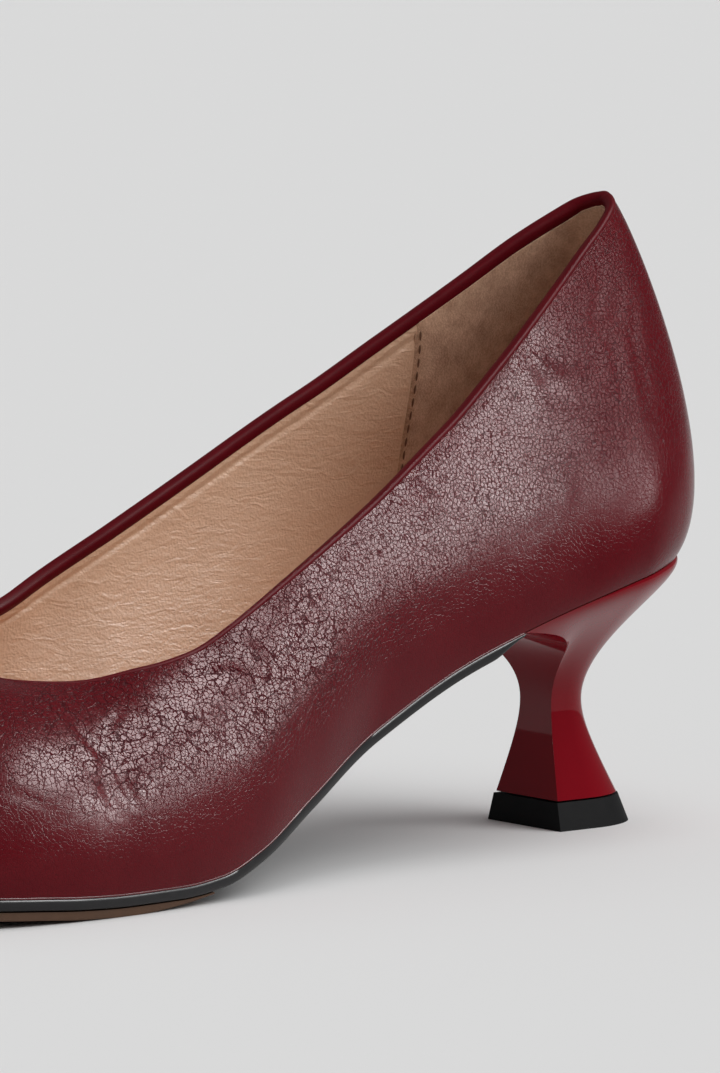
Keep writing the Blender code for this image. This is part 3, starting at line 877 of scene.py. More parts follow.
@dataclass(frozen=True)
class GrainedLeather:
    """Aniline-dyed calf, drum-shrunk and polished.

    The shrinking leaves small round pebbles between soft grooves. Dye gathers in the
    grooves, and their darker colour also paints the shade that falls in them. The polish
    gives the pebbles a gloss. The gloss is cut in the grooves, as painted shade, and over
    the back of the quarter, as painted shade that keeps the lamps' highlight off it, so
    that the gloss breaks up into bright islands.
    """

    name: str = "shrunken_calf_polished"
    pebble: str = "620914"
    shade: str = "520711"
    # Darker than the pebbles: dye in the grooves, and painted shade
    groove: str = "40060e"
    cloud_mm: float = 9.0
    pebble_mm: float = 0.76
    fine_mm: float = 0.50
    crease_mm: float = 2.5
    # Across and along the long fine wrinkles
    wrinkle_mm: tuple[float, float] = (0.7, 6.0)
    # Real pores are under 0.1 mm. They are drawn coarser, so that they show.
    pore_mm: float = 0.35
    # Size of the bends in the rows of cells, and how far they push pebbles and creases
    bend_mm: float = 3.0
    pebble_push_mm: float = 1.1
    crease_push_mm: float = 3.2
    # Half the width of a groove, share of its cell
    pebble_edge: float = 0.085
    fine_edge: float = 0.16
    crease_edge: float = 0.045
    fine_weight: float = 0.14
    pore_weight: float = 0.07
    # How strongly grooves and creases take the groove colour, the painted shade and the groove
    # roughness
    groove_gain: float = 0.9
    relief_mm: float = 0.038
    roughness: float = 0.22
    roughness_spread: tuple[float, float] = (-0.04, 0.05)
    groove_roughness: float = 0.10
    # Share of the gloss cut in the grooves: painted shade
    groove_shade_on_gloss: float = 0.85
    # Gloss cut over the back of the quarter: painted shade that keeps the highlight off it
    back_shade_on_gloss: float = 0.86
    shine: float = 0.13

    def material(self) -> bpy.types.Material:
        """Build the finish.

        Returns:
            Its material.
        """
        mix = Recipe(self.name, {"IOR": 1.5, "Specular IOR Level": self.shine})
        bend = mix.noise(self.bend_mm, 3.0, output="Color")
        warped = mix.moved(bend, self.pebble_push_mm)
        pebbles = mix.cells(warped, self.pebble_mm, self.pebble_edge)
        fine = mix.cells(warped, self.fine_mm, self.fine_edge)
        creases = mix.cells(
            mix.moved(bend, self.crease_push_mm), self.crease_mm, self.crease_edge)
        wrinkles = self.wrinkles(mix)
        grain, worn, streaks, stiffened = (
            mix.mark(name) for name in ("grain", "worn", "streaks", "stiffened"))
        mottle = mix.noise(self.cloud_mm, 4.0, 0.6)
        small = mix.sum("MULTIPLY_ADD", fine, self.fine_weight, pebbles)
        height = mix.sum("MULTIPLY", mix.noise(self.pore_mm, 2.0), self.pore_weight)
        for layer, amount in ((small, grain), (creases, worn), (wrinkles, streaks)):
            height = mix.sum("MULTIPLY_ADD", layer, amount, height)
        dyed = mix.blend(mottle, self.shade, self.pebble)
        # Grooves and crease lines get a darker colour, partly dye and partly painted shade
        sunk_share = mix.sum("MULTIPLY", mix.sum("SUBTRACT", 1.0, pebbles), grain)
        sunk_share = mix.sum("MULTIPLY_ADD", mix.sum("SUBTRACT", 1.0, creases), worn, sunk_share)
        grooves = mix.sum("MULTIPLY", sunk_share, self.groove_gain, clamp=True)
        gloss = mix.ranged(mottle, *(self.roughness + step for step in self.roughness_spread))
        # The gloss cut in the grooves is painted shade
        open_share = mix.sum("MULTIPLY_ADD", grooves, -self.groove_shade_on_gloss, 1.0)
        # The gloss cut over the back is painted shade that keeps the lamps' highlight off it
        front_share = mix.sum("MULTIPLY_ADD", stiffened, -self.back_shade_on_gloss, 1.0)
        return mix.done(
            base_color=mix.blend(grooves, dyed, self.groove),
            roughness=mix.sum("MULTIPLY_ADD", grooves, self.groove_roughness, gloss),
            specular_tint=mix.sum("MULTIPLY", open_share, front_share),
            normal=mix.bump(height, self.relief_mm, 1.0),
        )

    def wrinkles(self, mix: Recipe) -> Socket:
        """Height of long fine wrinkles that run up the ribs of the upper.

        Args:
            mix: Recipe of the finish.

        Returns:
            The height.
        """
        sized = [mix.sum("MULTIPLY", mix.mark(name), per_metre(size))
                 for name, size in zip(("chart_along", "chart_up"), self.wrinkle_mm)]
        flat = add_node(mix.tree, "ShaderNodeCombineXYZ", dict(enumerate(sized)))
        return add_node(mix.tree, "ShaderNodeTexNoise", {
            "Vector": flat.outputs[0], "Scale": 1.0, "Detail": 3.0, "Roughness": 0.6,
            "Distortion": 0.6,
        }).outputs["Fac"]


@dataclass(frozen=True)
class LiningLeather:
    """Vegetable-tanned goat lining, glazed lightly and left undyed.

    It is pale and warm, and fine wrinkles run over it where it was pulled round the last.
    """

    name: str = "goat_lining_glazed"
    light: str = "e6bfa0"
    dark: str = "d4a98a"
    cloud_mm: float = 11.0
    wrinkle_mm: float = 1.9
    # The wrinkles lean with the topline and are longer along the shoe than up it
    wrinkle_lean_deg: float = -25.0
    wrinkle_squeeze: tuple[float, float, float] = (0.45, 1.0, 1.25)
    # Real pores are under 0.1 mm. They are drawn coarser, so that they show.
    pore_mm: float = 0.5
    pore_weight: float = 0.22
    relief_mm: float = 0.336
    roughness: float = 0.46
    roughness_spread: tuple[float, float] = (-0.06, 0.14)
    glaze: float = 0.12

    def material(self) -> bpy.types.Material:
        """Build the finish.

        Returns:
            Its material.
        """
        mix = Recipe(self.name, {
            "IOR": 1.48, "Coat Weight": self.glaze, "Coat Roughness": 0.3,
        })
        stretched = add_node(mix.tree, "ShaderNodeMapping", {
            "Vector": mix.place, "Scale": self.wrinkle_squeeze,
            "Rotation": (0.0, math.radians(self.wrinkle_lean_deg), 0.0),
        })
        wrinkles = add_node(mix.tree, "ShaderNodeTexNoise", {
            "Vector": stretched.outputs[0], "Scale": per_metre(self.wrinkle_mm),
            "Detail": 3.0, "Roughness": 0.6, "Distortion": 0.8,
        }).outputs["Fac"]
        pores = add_node(mix.tree, "ShaderNodeTexVoronoi", {
            "Vector": mix.place, "Scale": per_metre(self.pore_mm),
        }).outputs["Distance"]
        height = mix.sum("MULTIPLY_ADD", pores, self.pore_weight, wrinkles)
        spread = (self.roughness + step for step in self.roughness_spread)
        return mix.done(
            base_color=mix.blend(mix.noise(self.cloud_mm, 4.0), self.dark, self.light),
            roughness=mix.ranged(wrinkles, *spread),
            normal=mix.bump(height, self.relief_mm, 0.8),
        )


@dataclass(frozen=True)
class GripSuede:
    """Split suede with its nap brushed up, so that the heel doesn't slip.

    It is matt and darker than the lining, with a soft bright edge and cloudy nap.
    """

    name: str = "split_suede_brushed"
    light: str = "ddb496"
    dark: str = "a57e64"
    bloom: str = "e6cdbd"
    # Real nap is under 0.1 mm. It is drawn coarser, so that it shows.
    nap_mm: float = 0.35
    nap_weight: float = 0.6
    cloud_mm: float = 4.0
    tone_range: tuple[float, float] = (0.55, 1.1)
    relief_mm: float = 0.25
    sheen: float = 0.5

    def material(self) -> bpy.types.Material:
        """Build the finish.

        Returns:
            Its material.
        """
        mix = Recipe(self.name, {
            "Roughness": 0.95, "Specular IOR Level": 0.2, "Sheen Weight": self.sheen,
            "Sheen Roughness": 0.5, "Sheen Tint": linear(self.bloom),
        })
        cloud = mix.noise(self.cloud_mm, 5.0, 0.65)
        nap = mix.noise(self.nap_mm, 2.0)
        tone = mix.sum("MULTIPLY_ADD", nap, self.nap_weight, cloud)
        spread = add_node(mix.tree, "ShaderNodeMapRange", {
            "Value": tone, "From Min": self.tone_range[0], "From Max": self.tone_range[1],
        }).outputs[0]
        return mix.done(
            base_color=mix.blend(spread, self.dark, self.light),
            normal=mix.bump(tone, self.relief_mm, 0.8),
        )


@dataclass(frozen=True)
class PlainFinish:
    """A finish of one stuff whose only pattern is a fine cloud and a fine relief."""

    name: str
    light: str
    dark: str
    roughness: float
    cloud_mm: float
    relief_mm: float
    grit_mm: float
    coat: float = 0.0
    coat_roughness: float = 0.3
    shine: float = 0.3
    roughness_range: tuple[float, float] = (0.85, 1.2)

    def material(self) -> bpy.types.Material:
        """Build the finish.

        Returns:
            Its material.
        """
        mix = Recipe(self.name, {
            "IOR": 1.5, "Specular IOR Level": self.shine, "Coat Weight": self.coat,
            "Coat Roughness": self.coat_roughness, "Coat IOR": 1.4,
        })
        cloud = mix.noise(self.cloud_mm, 4.0)
        spread = (self.roughness * share for share in self.roughness_range)
        return mix.done(
            base_color=mix.blend(cloud, self.dark, self.light),
            roughness=mix.ranged(cloud, *spread),
            normal=mix.bump(mix.noise(self.grit_mm, 2.0), self.relief_mm, 0.6),
        )


# The lacquer's grit is its faint waves, in their real size. The grit of the other stuffs
# is drawn as coarse as it needs to show: their real fibres and grains are under 0.1 mm.
# Moulded ABS sprayed with a clear-coated lacquer: deep even red under a mirror gloss.
HEEL_LACQUER = PlainFinish(
    "abs_heel_lacquered", "800415", "720412", roughness=0.28, cloud_mm=14.0,
    relief_mm=0.012, grit_mm=1.8, coat=0.6, coat_roughness=0.035, shine=0.0)
# Leather sole edge, sanded and inked black, then waxed: a soft broad gloss.
EDGE_INK = PlainFinish(
    "sole_edge_inked", "19181a", "0d0d0e", roughness=0.42, cloud_mm=3.0,
    relief_mm=0.03, grit_mm=0.7, coat=0.14, coat_roughness=0.2)
# Moulded nitrile rubber: near black, with a dull sheen.
TOP_PIECE_RUBBER = PlainFinish(
    "nitrile_rubber_moulded", "1a1a1b", "121213", roughness=0.55, cloud_mm=2.5,
    relief_mm=0.03, grit_mm=0.5, shine=0.06)
# Bark-tanned sole leather, buffed: matt tan with a fine fibre.
SOLE_LEATHER = PlainFinish(
    "bark_tanned_sole_buffed", "664c3b", "4e392c", roughness=0.62, cloud_mm=3.0,
    relief_mm=0.05, grit_mm=0.45)
# Bonded nylon thread, twisted: small and dark, with a little gloss.
SEAM_THREAD = PlainFinish(
    "nylon_thread_twisted", "7f5b46", "624536", roughness=0.5, cloud_mm=1.0,
    relief_mm=0.05, grit_mm=0.3, coat=0.1)
# The skived edge of the upper where it turns under, dyed and polished.
WELT_CORD = PlainFinish(
    "calf_edge_dyed", "6e3234", "501f23", roughness=0.4, cloud_mm=2.0,
    relief_mm=0.03, grit_mm=0.5, coat=0.15, coat_roughness=0.2)
# Seamless background paper: matt, even and pale.
FLOOR_PAPER = PlainFinish(
    "paper_floor_matt", "dedede", "dedede", roughness=0.9, cloud_mm=60.0,
    relief_mm=0.0, grit_mm=2.0, coat_roughness=0.5, shine=0.0)


class Crease(NamedTuple):
    """A crease of the leather, drawn on the upper's chart."""

    places: Sequence[tuple[float, float]]    # signed distance and length up the rib, in mm
    width_mm: float
    depth_mm: float
    fade: float = 3.0           # length over which an end fades out, in widths
    ridge_place: float = 2.0    # of the ridge on each side, in widths
    ridge_width: float = 1.1    # in widths
    ridge_height: float = 0.4   # share of the depth

    def distance(self, along: np.ndarray, up: np.ndarray) -> np.ndarray:
        """Distance of chart places from the crease.

        Args:
            along: Signed distances in mm.
            up: Lengths up the ribs in mm.

        Returns:
            One distance in mm for each place.
        """
        best = np.full(along.shape, np.inf)
        for start, end in zip(self.places, self.places[1:]):
            run = np.subtract(end, start)
            share = ((along - start[0]) * run[0] + (up - start[1]) * run[1]) / (run @ run)
            share = np.clip(share, 0.0, 1.0)
            gap = np.hypot(along - start[0] - run[0] * share, up - start[1] - run[1] * share)
            best = np.minimum(best, gap)
        return best

    def relief(self, along: np.ndarray, up: np.ndarray) -> np.ndarray:
        """Height in mm: a soft trough between two low ridges, fading out at both ends.

        Args:
            along: Signed distances in mm.
            up: Lengths up the ribs in mm.

        Returns:
            One height for each place.
        """
        tips = [np.hypot(along - a, up - u) for a, u in (self.places[0], self.places[-1])]
        fade = ease(np.minimum(*tips) / (self.fade * self.width_mm))
        gap = self.distance(along, up) / self.width_mm
        trough = np.exp(-gap ** 2)
        ridges = np.exp(-((gap - self.ridge_place) / self.ridge_width) ** 2)
        return self.depth_mm * fade * (self.ridge_height * ridges - trough)


class Swell(NamedTuple):
    """A broad soft swelling of the leather, or a hollow where its height is negative."""

    along: float          # signed distance in mm
    up: float             # length up the rib in mm
    reach_along: float    # in mm
    reach_up: float       # in mm
    height_mm: float

    def relief(self, along: np.ndarray, up: np.ndarray) -> np.ndarray:
        """Height in mm."""
        across = ((along - self.along) / self.reach_along) ** 2
        return self.height_mm * np.exp(-across - ((up - self.up) / self.reach_up) ** 2)


CREASES = (
    Crease(((164.7, 33.9), (164.1, 28.0), (162.0, 24.2), (159.6, 21.5), (156.6, 14.4)), 0.7, 0.16),
    Crease(((154.2, 31.4), (159.3, 27.4), (161.4, 24.1), (162.8, 18.0), (160.8, 13.5)), 0.7, 0.14),
    Crease(((145.5, 27.5), (149.4, 24.9), (153.9, 23.7), (157.8, 21.0)), 0.7, 0.12),
    Crease(((148.5, 34.4), (147.6, 31.2), (144.9, 28.9), (143.4, 25.8)), 0.7, 0.12),
    Crease(((165.9, 24.5), (165.0, 21.4), (163.2, 17.9)), 0.7, 0.10),
    Crease(((181.2, 18.4), (176.7, 16.2), (172.5, 14.1)), 0.8, 0.06),
    Crease(((174.0, 11.1), (168.0, 14.1), (166.2, 16.7)), 0.8, 0.06),
    Crease(((135.3, 34.2), (129.0, 31.9), (126.6, 28.5)), 0.9, 0.14),
    Crease(((124.8, 35.3), (122.1, 30.1), (122.1, 25.0)), 0.9, 0.12),
    Crease(((111.3, 33.3), (108.9, 28.4), (109.2, 23.6)), 0.9, 0.12),
    Crease(((84.3, 36.9), (79.8, 31.0), (79.5, 25.8)), 0.9, 0.12),
    Crease(((29.4, 53.3), (33.6, 49.6), (36.3, 46.1), (33.9, 41.7), (34.8, 30.1)), 1.0, 0.14),
    Crease(((24.0, 47.0), (28.5, 41.0), (29.1, 36.6), (30.3, 28.3)), 1.0, 0.10),
    Crease(((52.5, 45.8), (50.1, 40.7), (44.2, 37.3)), 1.6, 0.22),
    Crease(((62.4, 15.2), (54.9, 17.5), (51.6, 19.3), (50.4, 23.5)), 1.5, 0.06),
)
SWELLS = (
    Swell(58.0, 25.0, 12.0, 9.0, 0.35),
    Swell(95.0, 17.0, 30.0, 8.5, 0.55),
    Swell(46.0, 44.0, 8.5, 12.0, 0.30),
    Swell(27.0, 44.0, 8.5, 14.0, -0.35),
    Swell(50.0, 40.0, 6.0, 5.0, -0.22),
    Swell(143.0, 27.0, 12.0, 8.0, 0.30),
    Swell(161.0, 22.0, 4.5, 11.0, -0.30),
    Swell(175.0, 22.0, 9.0, 8.0, 0.30),
    Swell(112.0, 28.0, 13.0, 6.0, 0.20),
    Swell(90.0, 25.0, 10.0, 6.0, 0.15),
)
# The vamp bends along the same line on both sides, so the far side has the same creases,
# a little further back and lower: a guess, because the picture doesn't show that side.
FAR_SHIFT_MM = 4.0
FAR_UP_SHARE = 0.9


@dataclass(frozen=True)
class WearAndShade:
    """How the leather's finish changes over the shell, and the painted shade on the back's gloss.

    Lengths are in mm along the feather line, and shares are of the way up a rib.
    """

    grain_least: float = 0.25
    grain_gain: float = 0.90
    grain_from: float = 0.22      # share up the rib where the grain begins to open
    grain_over: float = 0.35
    back_press: float = 0.5       # how flat the grain is pressed at the back
    back_reach: float = 16.0
    streak_gain: float = 2.0      # long fine wrinkles of the quarter
    streak_place: float = 29.0
    streak_reach: float = 13.0
    streak_over: float = 0.6
    bent_least: float = 0.2       # the foot bends the leather from the arch forward
    bent_from: float = 85.0
    bent_over: float = 35.0
    worn_least: float = 0.35      # wear gathers round the creases
    worn_gain: float = 1.3
    crease_reach: float = 6.5
    back_shade_until: float = 39.0     # painted shade on the gloss over the back ends here
    back_shade_over: float = 17.0

    def marks(
        self, share: np.ndarray, signed: np.ndarray, along: np.ndarray, near: np.ndarray
    ) -> dict[str, np.ndarray]:
        """Numbers that the finish reads.

        Args:
            share: Share of the way up the rib.
            signed: Signed distance.
            along: Distance along on the near side's chart.
            near: Distance from the nearest crease.

        Returns:
            The numbers by the names under which they are stored.
        """
        rise = ease((share - self.grain_from) / self.grain_over)
        grain = self.grain_least + self.grain_gain * rise
        grain *= 1.0 - self.back_press * np.exp(-(signed / self.back_reach) ** 2)
        aside = (along - self.streak_place) / self.streak_reach
        streaks = self.streak_gain * np.exp(-aside ** 2) * ease(share / self.streak_over)
        bend = ease((along - self.bent_from) / self.bent_over)
        bent = self.bent_least + (1.0 - self.bent_least) * bend
        creased = self.worn_gain * np.exp(-(near / self.crease_reach) ** 2)
        return {
            "grain": grain,
            "worn": bent * grain * (self.worn_least + creased),
            "streaks": streaks,
            # Painted shade: cuts the gloss over the back of the quarter
            "stiffened": 1.0 - ease((along - self.back_shade_until) / self.back_shade_over),
        }


@dataclass
class Upper:
    """The burgundy shell and the fold along its topline."""

    last: Last
    leather_mm: float = 1.2
    side_ribs: int = 186
    vamp_ribs: int = 92
    rows: int = 80
    rim_calm_mm: float = 3.0
    wear: WearAndShade = WearAndShade()
    fold_smoothing: int = 3
    fold_grain: float = 0.25
    # Section of the fold in mm, outward from the leather's face and up from its edge
    fold: Sequence[tuple[float, float]] = (
        (-0.10, -0.85), (0.08, -0.72), (0.14, -0.45), (0.10, -0.14), (-0.08, 0.06),
        (-0.45, 0.14), (-0.95, 0.17), (-1.45, 0.12), (-1.80, -0.06), (-2.02, -0.40),
        (-2.10, -0.90), (-2.10, -1.45), (-2.02, -1.80), (-1.80, -1.95), (-1.30, -1.90),
        (-1.30, -0.85),
    )

    def signed(self) -> np.ndarray:
        """Signed distances of all ribs, with one at each side of the throat.

        Returns:
            The distances, rising.
        """
        back = np.linspace(-self.last.throat, self.last.throat, 2 * self.side_ribs + 1)
        front = np.linspace(self.last.throat, self.last.girth, self.vamp_ribs + 1)[1:]
        return np.concatenate([-front[::-1], back, front])

    def build(self, leather: bpy.types.Material, fold: bpy.types.Material) -> None:
        """Build the shell and its fold.

        Args:
            leather: Finish of the shell.
            fold: Finish of the fold.
        """
        signed = self.signed()
        grid = rib_grid(self.last, signed, np.linspace(0.0, 1.0, self.rows + 1))
        climb = run_of(grid.points)
        outer = self.relief(climb) * MM
        inner = np.full(climb.shape, -self.leather_mm * MM)
        points, faces = solid_sheet(grid, outer, inner)
        shell = make_piece("upper_leather", points, faces, leather)
        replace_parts(shell, "upper")
        self.mark_wear_and_shade(shell, grid, climb)
        self.build_fold(grid, fold)

    def chart(self, climb: np.ndarray) -> tuple[np.ndarray, np.ndarray]:
        """Chart places of the grid as seen from the near side.

        Args:
            climb: Length up each rib.

        Returns:
            Distances along and lengths up in mm, of the place with the same creases.
        """
        signed = np.repeat(self.signed()[:, None], climb.shape[1], axis=1) / MM
        far = signed < 0
        along = np.where(far, -signed + FAR_SHIFT_MM, signed)
        return along, np.where(far, climb / FAR_UP_SHARE, climb) / MM

    def relief(self, climb: np.ndarray) -> np.ndarray:
        """Height of creases and swells in mm at each grid point, none along the topline.

        Args:
            climb: Length up each rib.

        Returns:
            Heights by rib and share.
        """
        along, up = self.chart(climb)
        total = sum(item.relief(along, up) for item in CREASES + SWELLS)
        edge = np.minimum(climb, climb[:, -1:] - climb) / MM
        return total * ease(edge / self.rim_calm_mm)

    def mark_wear_and_shade(self, shell: bpy.types.Object, grid: Grid, climb: np.ndarray) -> None:
        """Store chart places, where the leather is open or worn, and the painted shade at the
        back.

        Args:
            shell: The shell.
            grid: Its grid.
            climb: Length up each rib.
        """
        signed = np.repeat(self.signed()[:, None], climb.shape[1], axis=1)
        along, up = self.chart(climb)
        near = np.min([crease.distance(along, up) for crease in CREASES], axis=0)
        marks = self.wear.marks(climb / climb[:, -1:], signed / MM, along, near)
        marks |= {"chart_along": signed, "chart_up": climb}
        for name, values in marks.items():
            flat = np.zeros(int(grid.numbers.max()) + 1)
            flat[grid.numbers.ravel()] = values.ravel()
            mark(shell, name, np.concatenate([flat, flat]))

    def build_fold(self, grid: Grid, finish: bpy.types.Material) -> None:
        """Rounded fold that covers the cut edge of leather and lining.

        Args:
            grid: The shell's grid.
            finish: Its finish.
        """
        first = self.vamp_ribs
        rows = slice(first, first + 2 * self.side_ribs)
        centres = grid.points[rows, -1]
        outward = grid.normals()[rows, -1]
        along = np.roll(centres, -1, axis=0) - np.roll(centres, 1, axis=0)
        along /= np.linalg.norm(along, axis=1, keepdims=True)
        up = np.cross(along, outward)
        for _ in range(self.fold_smoothing):
            up = np.roll(up, 1, axis=0) + 2 * up + np.roll(up, -1, axis=0)
        up /= np.linalg.norm(up, axis=1, keepdims=True)
        outward = np.cross(up, along)
        profile = [(a * MM, b * MM) for a, b in self.fold]
        points, faces = swept(centres, outward, up, profile, closed=True)
        piece = make_piece("topline_fold", points, faces, finish)
        mark(piece, "grain", np.full(len(points), self.fold_grain))


@dataclass
class Lining:
    """Goat lining of the upper, and the suede heel grip with its stitches."""

    last: Last
    upper: Upper
    foot_share: float = 0.02
    # Depths of its hidden and its shown face under the leather's face
    outer_mm: float = 1.25
    face_mm: float = 1.85
    toe_stop: float = 0.030
    fold_cover_mm: float = 0.9
    cover_fade_mm: float = 4.0
    # Groove that the topline's seam draws, below the edge, and the swelling over it
    groove_mm: float = 4.6
    groove_width_mm: float = 0.55
    groove_depth_mm: float = 0.30
    swell_over_mm: float = 1.6
    swell_width_mm: float = 0.9
    swell_height_mm: float = 0.12
    # Heel grip: its front edge leans, and its face thins out towards that edge
    grip_reach: float = 0.0538
    grip_lean: float = 0.0063
    grip_top_mm: float = 2.0
    grip_mm: float = 2.25
    grip_bite_mm: float = 0.1
    grip_edge_mm: float = 1.2
    grip_columns: int = 120
    grip_rows: int = 60
    stitch_inset_mm: float = 0.55
    stitch_top_mm: float = 2.4
    stitch_start: float = 0.05
    stitch_mm: float = 1.7
    stitch_gap_mm: float = 0.8
    stitch_lift_mm: float = 0.02
    thread_mm: float = 0.22
    thread_flatness: float = 0.7
    thread_rings: int = 7
    thread_sides: int = 8
    samples: int = 400

    def build(
        self, lining: bpy.types.Material, suede: bpy.types.Material, thread: bpy.types.Material
    ) -> None:
        """Build the lining, the heel grip and its stitches.

        Args:
            lining: Finish of the lining.
            suede: Finish of the heel grip.
            thread: Finish of the stitches.
        """
        signed = self.upper.signed()
        signed = signed[np.abs(signed) <= self.last.girth - self.toe_stop]
        whole = run_of(rib_grid(self.last, signed, np.linspace(0.0, 1.0, 30)).points)[:, -1]
        kept = ease((self.last.throat - np.abs(signed)) / (self.cover_fade_mm * MM))
        ends = 1.0 - kept * self.fold_cover_mm * MM / whole
        steps = np.linspace(0.0, 1.0, self.upper.rows + 1)
        grid = rib_grid(
            self.last, signed, self.foot_share + (ends - self.foot_share)[:, None] * steps)
        climb = run_of(grid.points)
        below = climb[:, -1:] + (kept * self.fold_cover_mm * MM)[:, None] - climb
        depth = below / MM - self.groove_mm
        groove = self.groove_depth_mm * np.exp(-(depth / self.groove_width_mm) ** 2)
        swell = np.exp(-((depth + self.swell_over_mm) / self.swell_width_mm) ** 2)
        behind = (np.abs(signed) < self.last.throat)[:, None]
        relief = np.where(behind, groove - self.swell_height_mm * swell, 0.0) * MM
        outer = np.full(climb.shape, -self.outer_mm * MM)
        points, faces = solid_sheet(grid, outer, relief - self.face_mm * MM)
        make_piece("lining_leather", points, faces, lining)
        self.build_grip(suede, thread)

    def depth_share(self, signed: np.ndarray, depth: float) -> np.ndarray:
        """Share up each rib at which it is a given length below its top.

        Args:
            signed: Signed distances of the ribs.
            depth: Length below the top.

        Returns:
            One share for each rib.
        """
        shares = np.linspace(0.0, 1.0, 200)
        climb = run_of(self.last.ribs(signed, shares))
        return np.array([np.interp(row[-1] - depth, row, shares) for row in climb])

    def grip_edge(self, share: float | np.ndarray) -> float | np.ndarray:
        """Signed distance of the panel's front edge at a share of the way up."""
        return self.grip_reach - self.grip_lean * (1.0 - share)

    def build_grip(self, suede: bpy.types.Material, thread: bpy.types.Material) -> None:
        """Suede panel round the back of the inside, sewn down along both front edges.

        Args:
            suede: Finish of the panel.
            thread: Finish of the stitches.
        """
        across = np.linspace(-1.0, 1.0, self.grip_columns + 1)
        rows = []
        for share in np.linspace(0.0, 1.0, self.grip_rows + 1):
            signed = across * self.grip_edge(share)
            top = self.depth_share(signed, self.grip_top_mm * MM)
            up = self.foot_share + (top - self.foot_share) * share
            rows.append(self.last.ribs(signed, up[:, None])[:, 0])
        points = np.stack(rows, axis=1)
        grid = Grid(points, numbered(points))
        outer = np.full(grid.numbers.shape, -(self.face_mm - self.grip_bite_mm) * MM)
        bevel = self.grip_edge_mm * MM
        edge = np.minimum(self.grip_reach * (1.0 - np.abs(across)), bevel) / bevel
        inner = -(self.face_mm + (self.grip_mm - self.face_mm) * np.sqrt(edge)) * MM
        inner = np.repeat(inner[:, None], grid.numbers.shape[1], axis=1)
        made, faces = solid_sheet(grid, outer, inner)
        make_piece("heel_grip", made, faces, suede)
        self.build_stitches(thread)

    def seam(self, side: float) -> tuple[np.ndarray, np.ndarray]:
        """Line of the stitches just inside one front edge of the heel grip.

        Args:
            side: 1 for the outer side and -1 for the inner one.

        Returns:
            Its points, and the leather's normal at each.
        """
        top = self.depth_share(np.array([side * self.grip_reach]), self.stitch_top_mm * MM)
        fine = np.linspace(self.stitch_start, float(top[0]), self.samples)
        edge = side * (self.grip_edge(fine) - self.stitch_inset_mm * MM)
        points = np.stack([self.last.ribs(edge + step * MM, fine[:, None])[:, 0]
                           for step in (-1.0, 0.0, 1.0)])
        normal = Grid(points, numbered(points)).normals()[1]
        return points[1] - normal * (self.grip_mm + self.stitch_lift_mm) * MM, normal

    def build_stitches(self, thread: bpy.types.Material) -> None:
        """Row of stitches along each seam.

        Args:
            thread: Finish of the thread.
        """
        ring = oval(self.thread_sides)
        bulge = np.sqrt(np.clip(1 - np.linspace(-1, 1, self.thread_rings) ** 2, 0.05, 1.0))
        bulge = bulge[:, None] * self.thread_mm * MM
        pitch = (self.stitch_mm + self.stitch_gap_mm) * MM
        points, faces = np.zeros((0, 3)), []
        for line, normal in (self.seam(-1.0), self.seam(1.0)):
            run = run_of(line)
            for start in np.arange(int(run[-1] / pitch)) * pitch:
                steps = np.linspace(start, start + self.stitch_mm * MM, self.thread_rings)
                centre, out = (
                    np.stack([np.interp(steps, run, goal[:, k]) for k in range(3)], axis=1)
                    for goal in (line, normal))
                along = centre[-1] - centre[0]
                across = np.cross(out, along / np.linalg.norm(along))
                made, sides = swept(
                    centre, out * self.thread_flatness * bulge, across * bulge, ring, closed=False)
                faces += [[len(points) + n for n in face] for face in sides]
                points = np.concatenate([points, made])
        make_piece("grip_stitches", points, faces, thread)


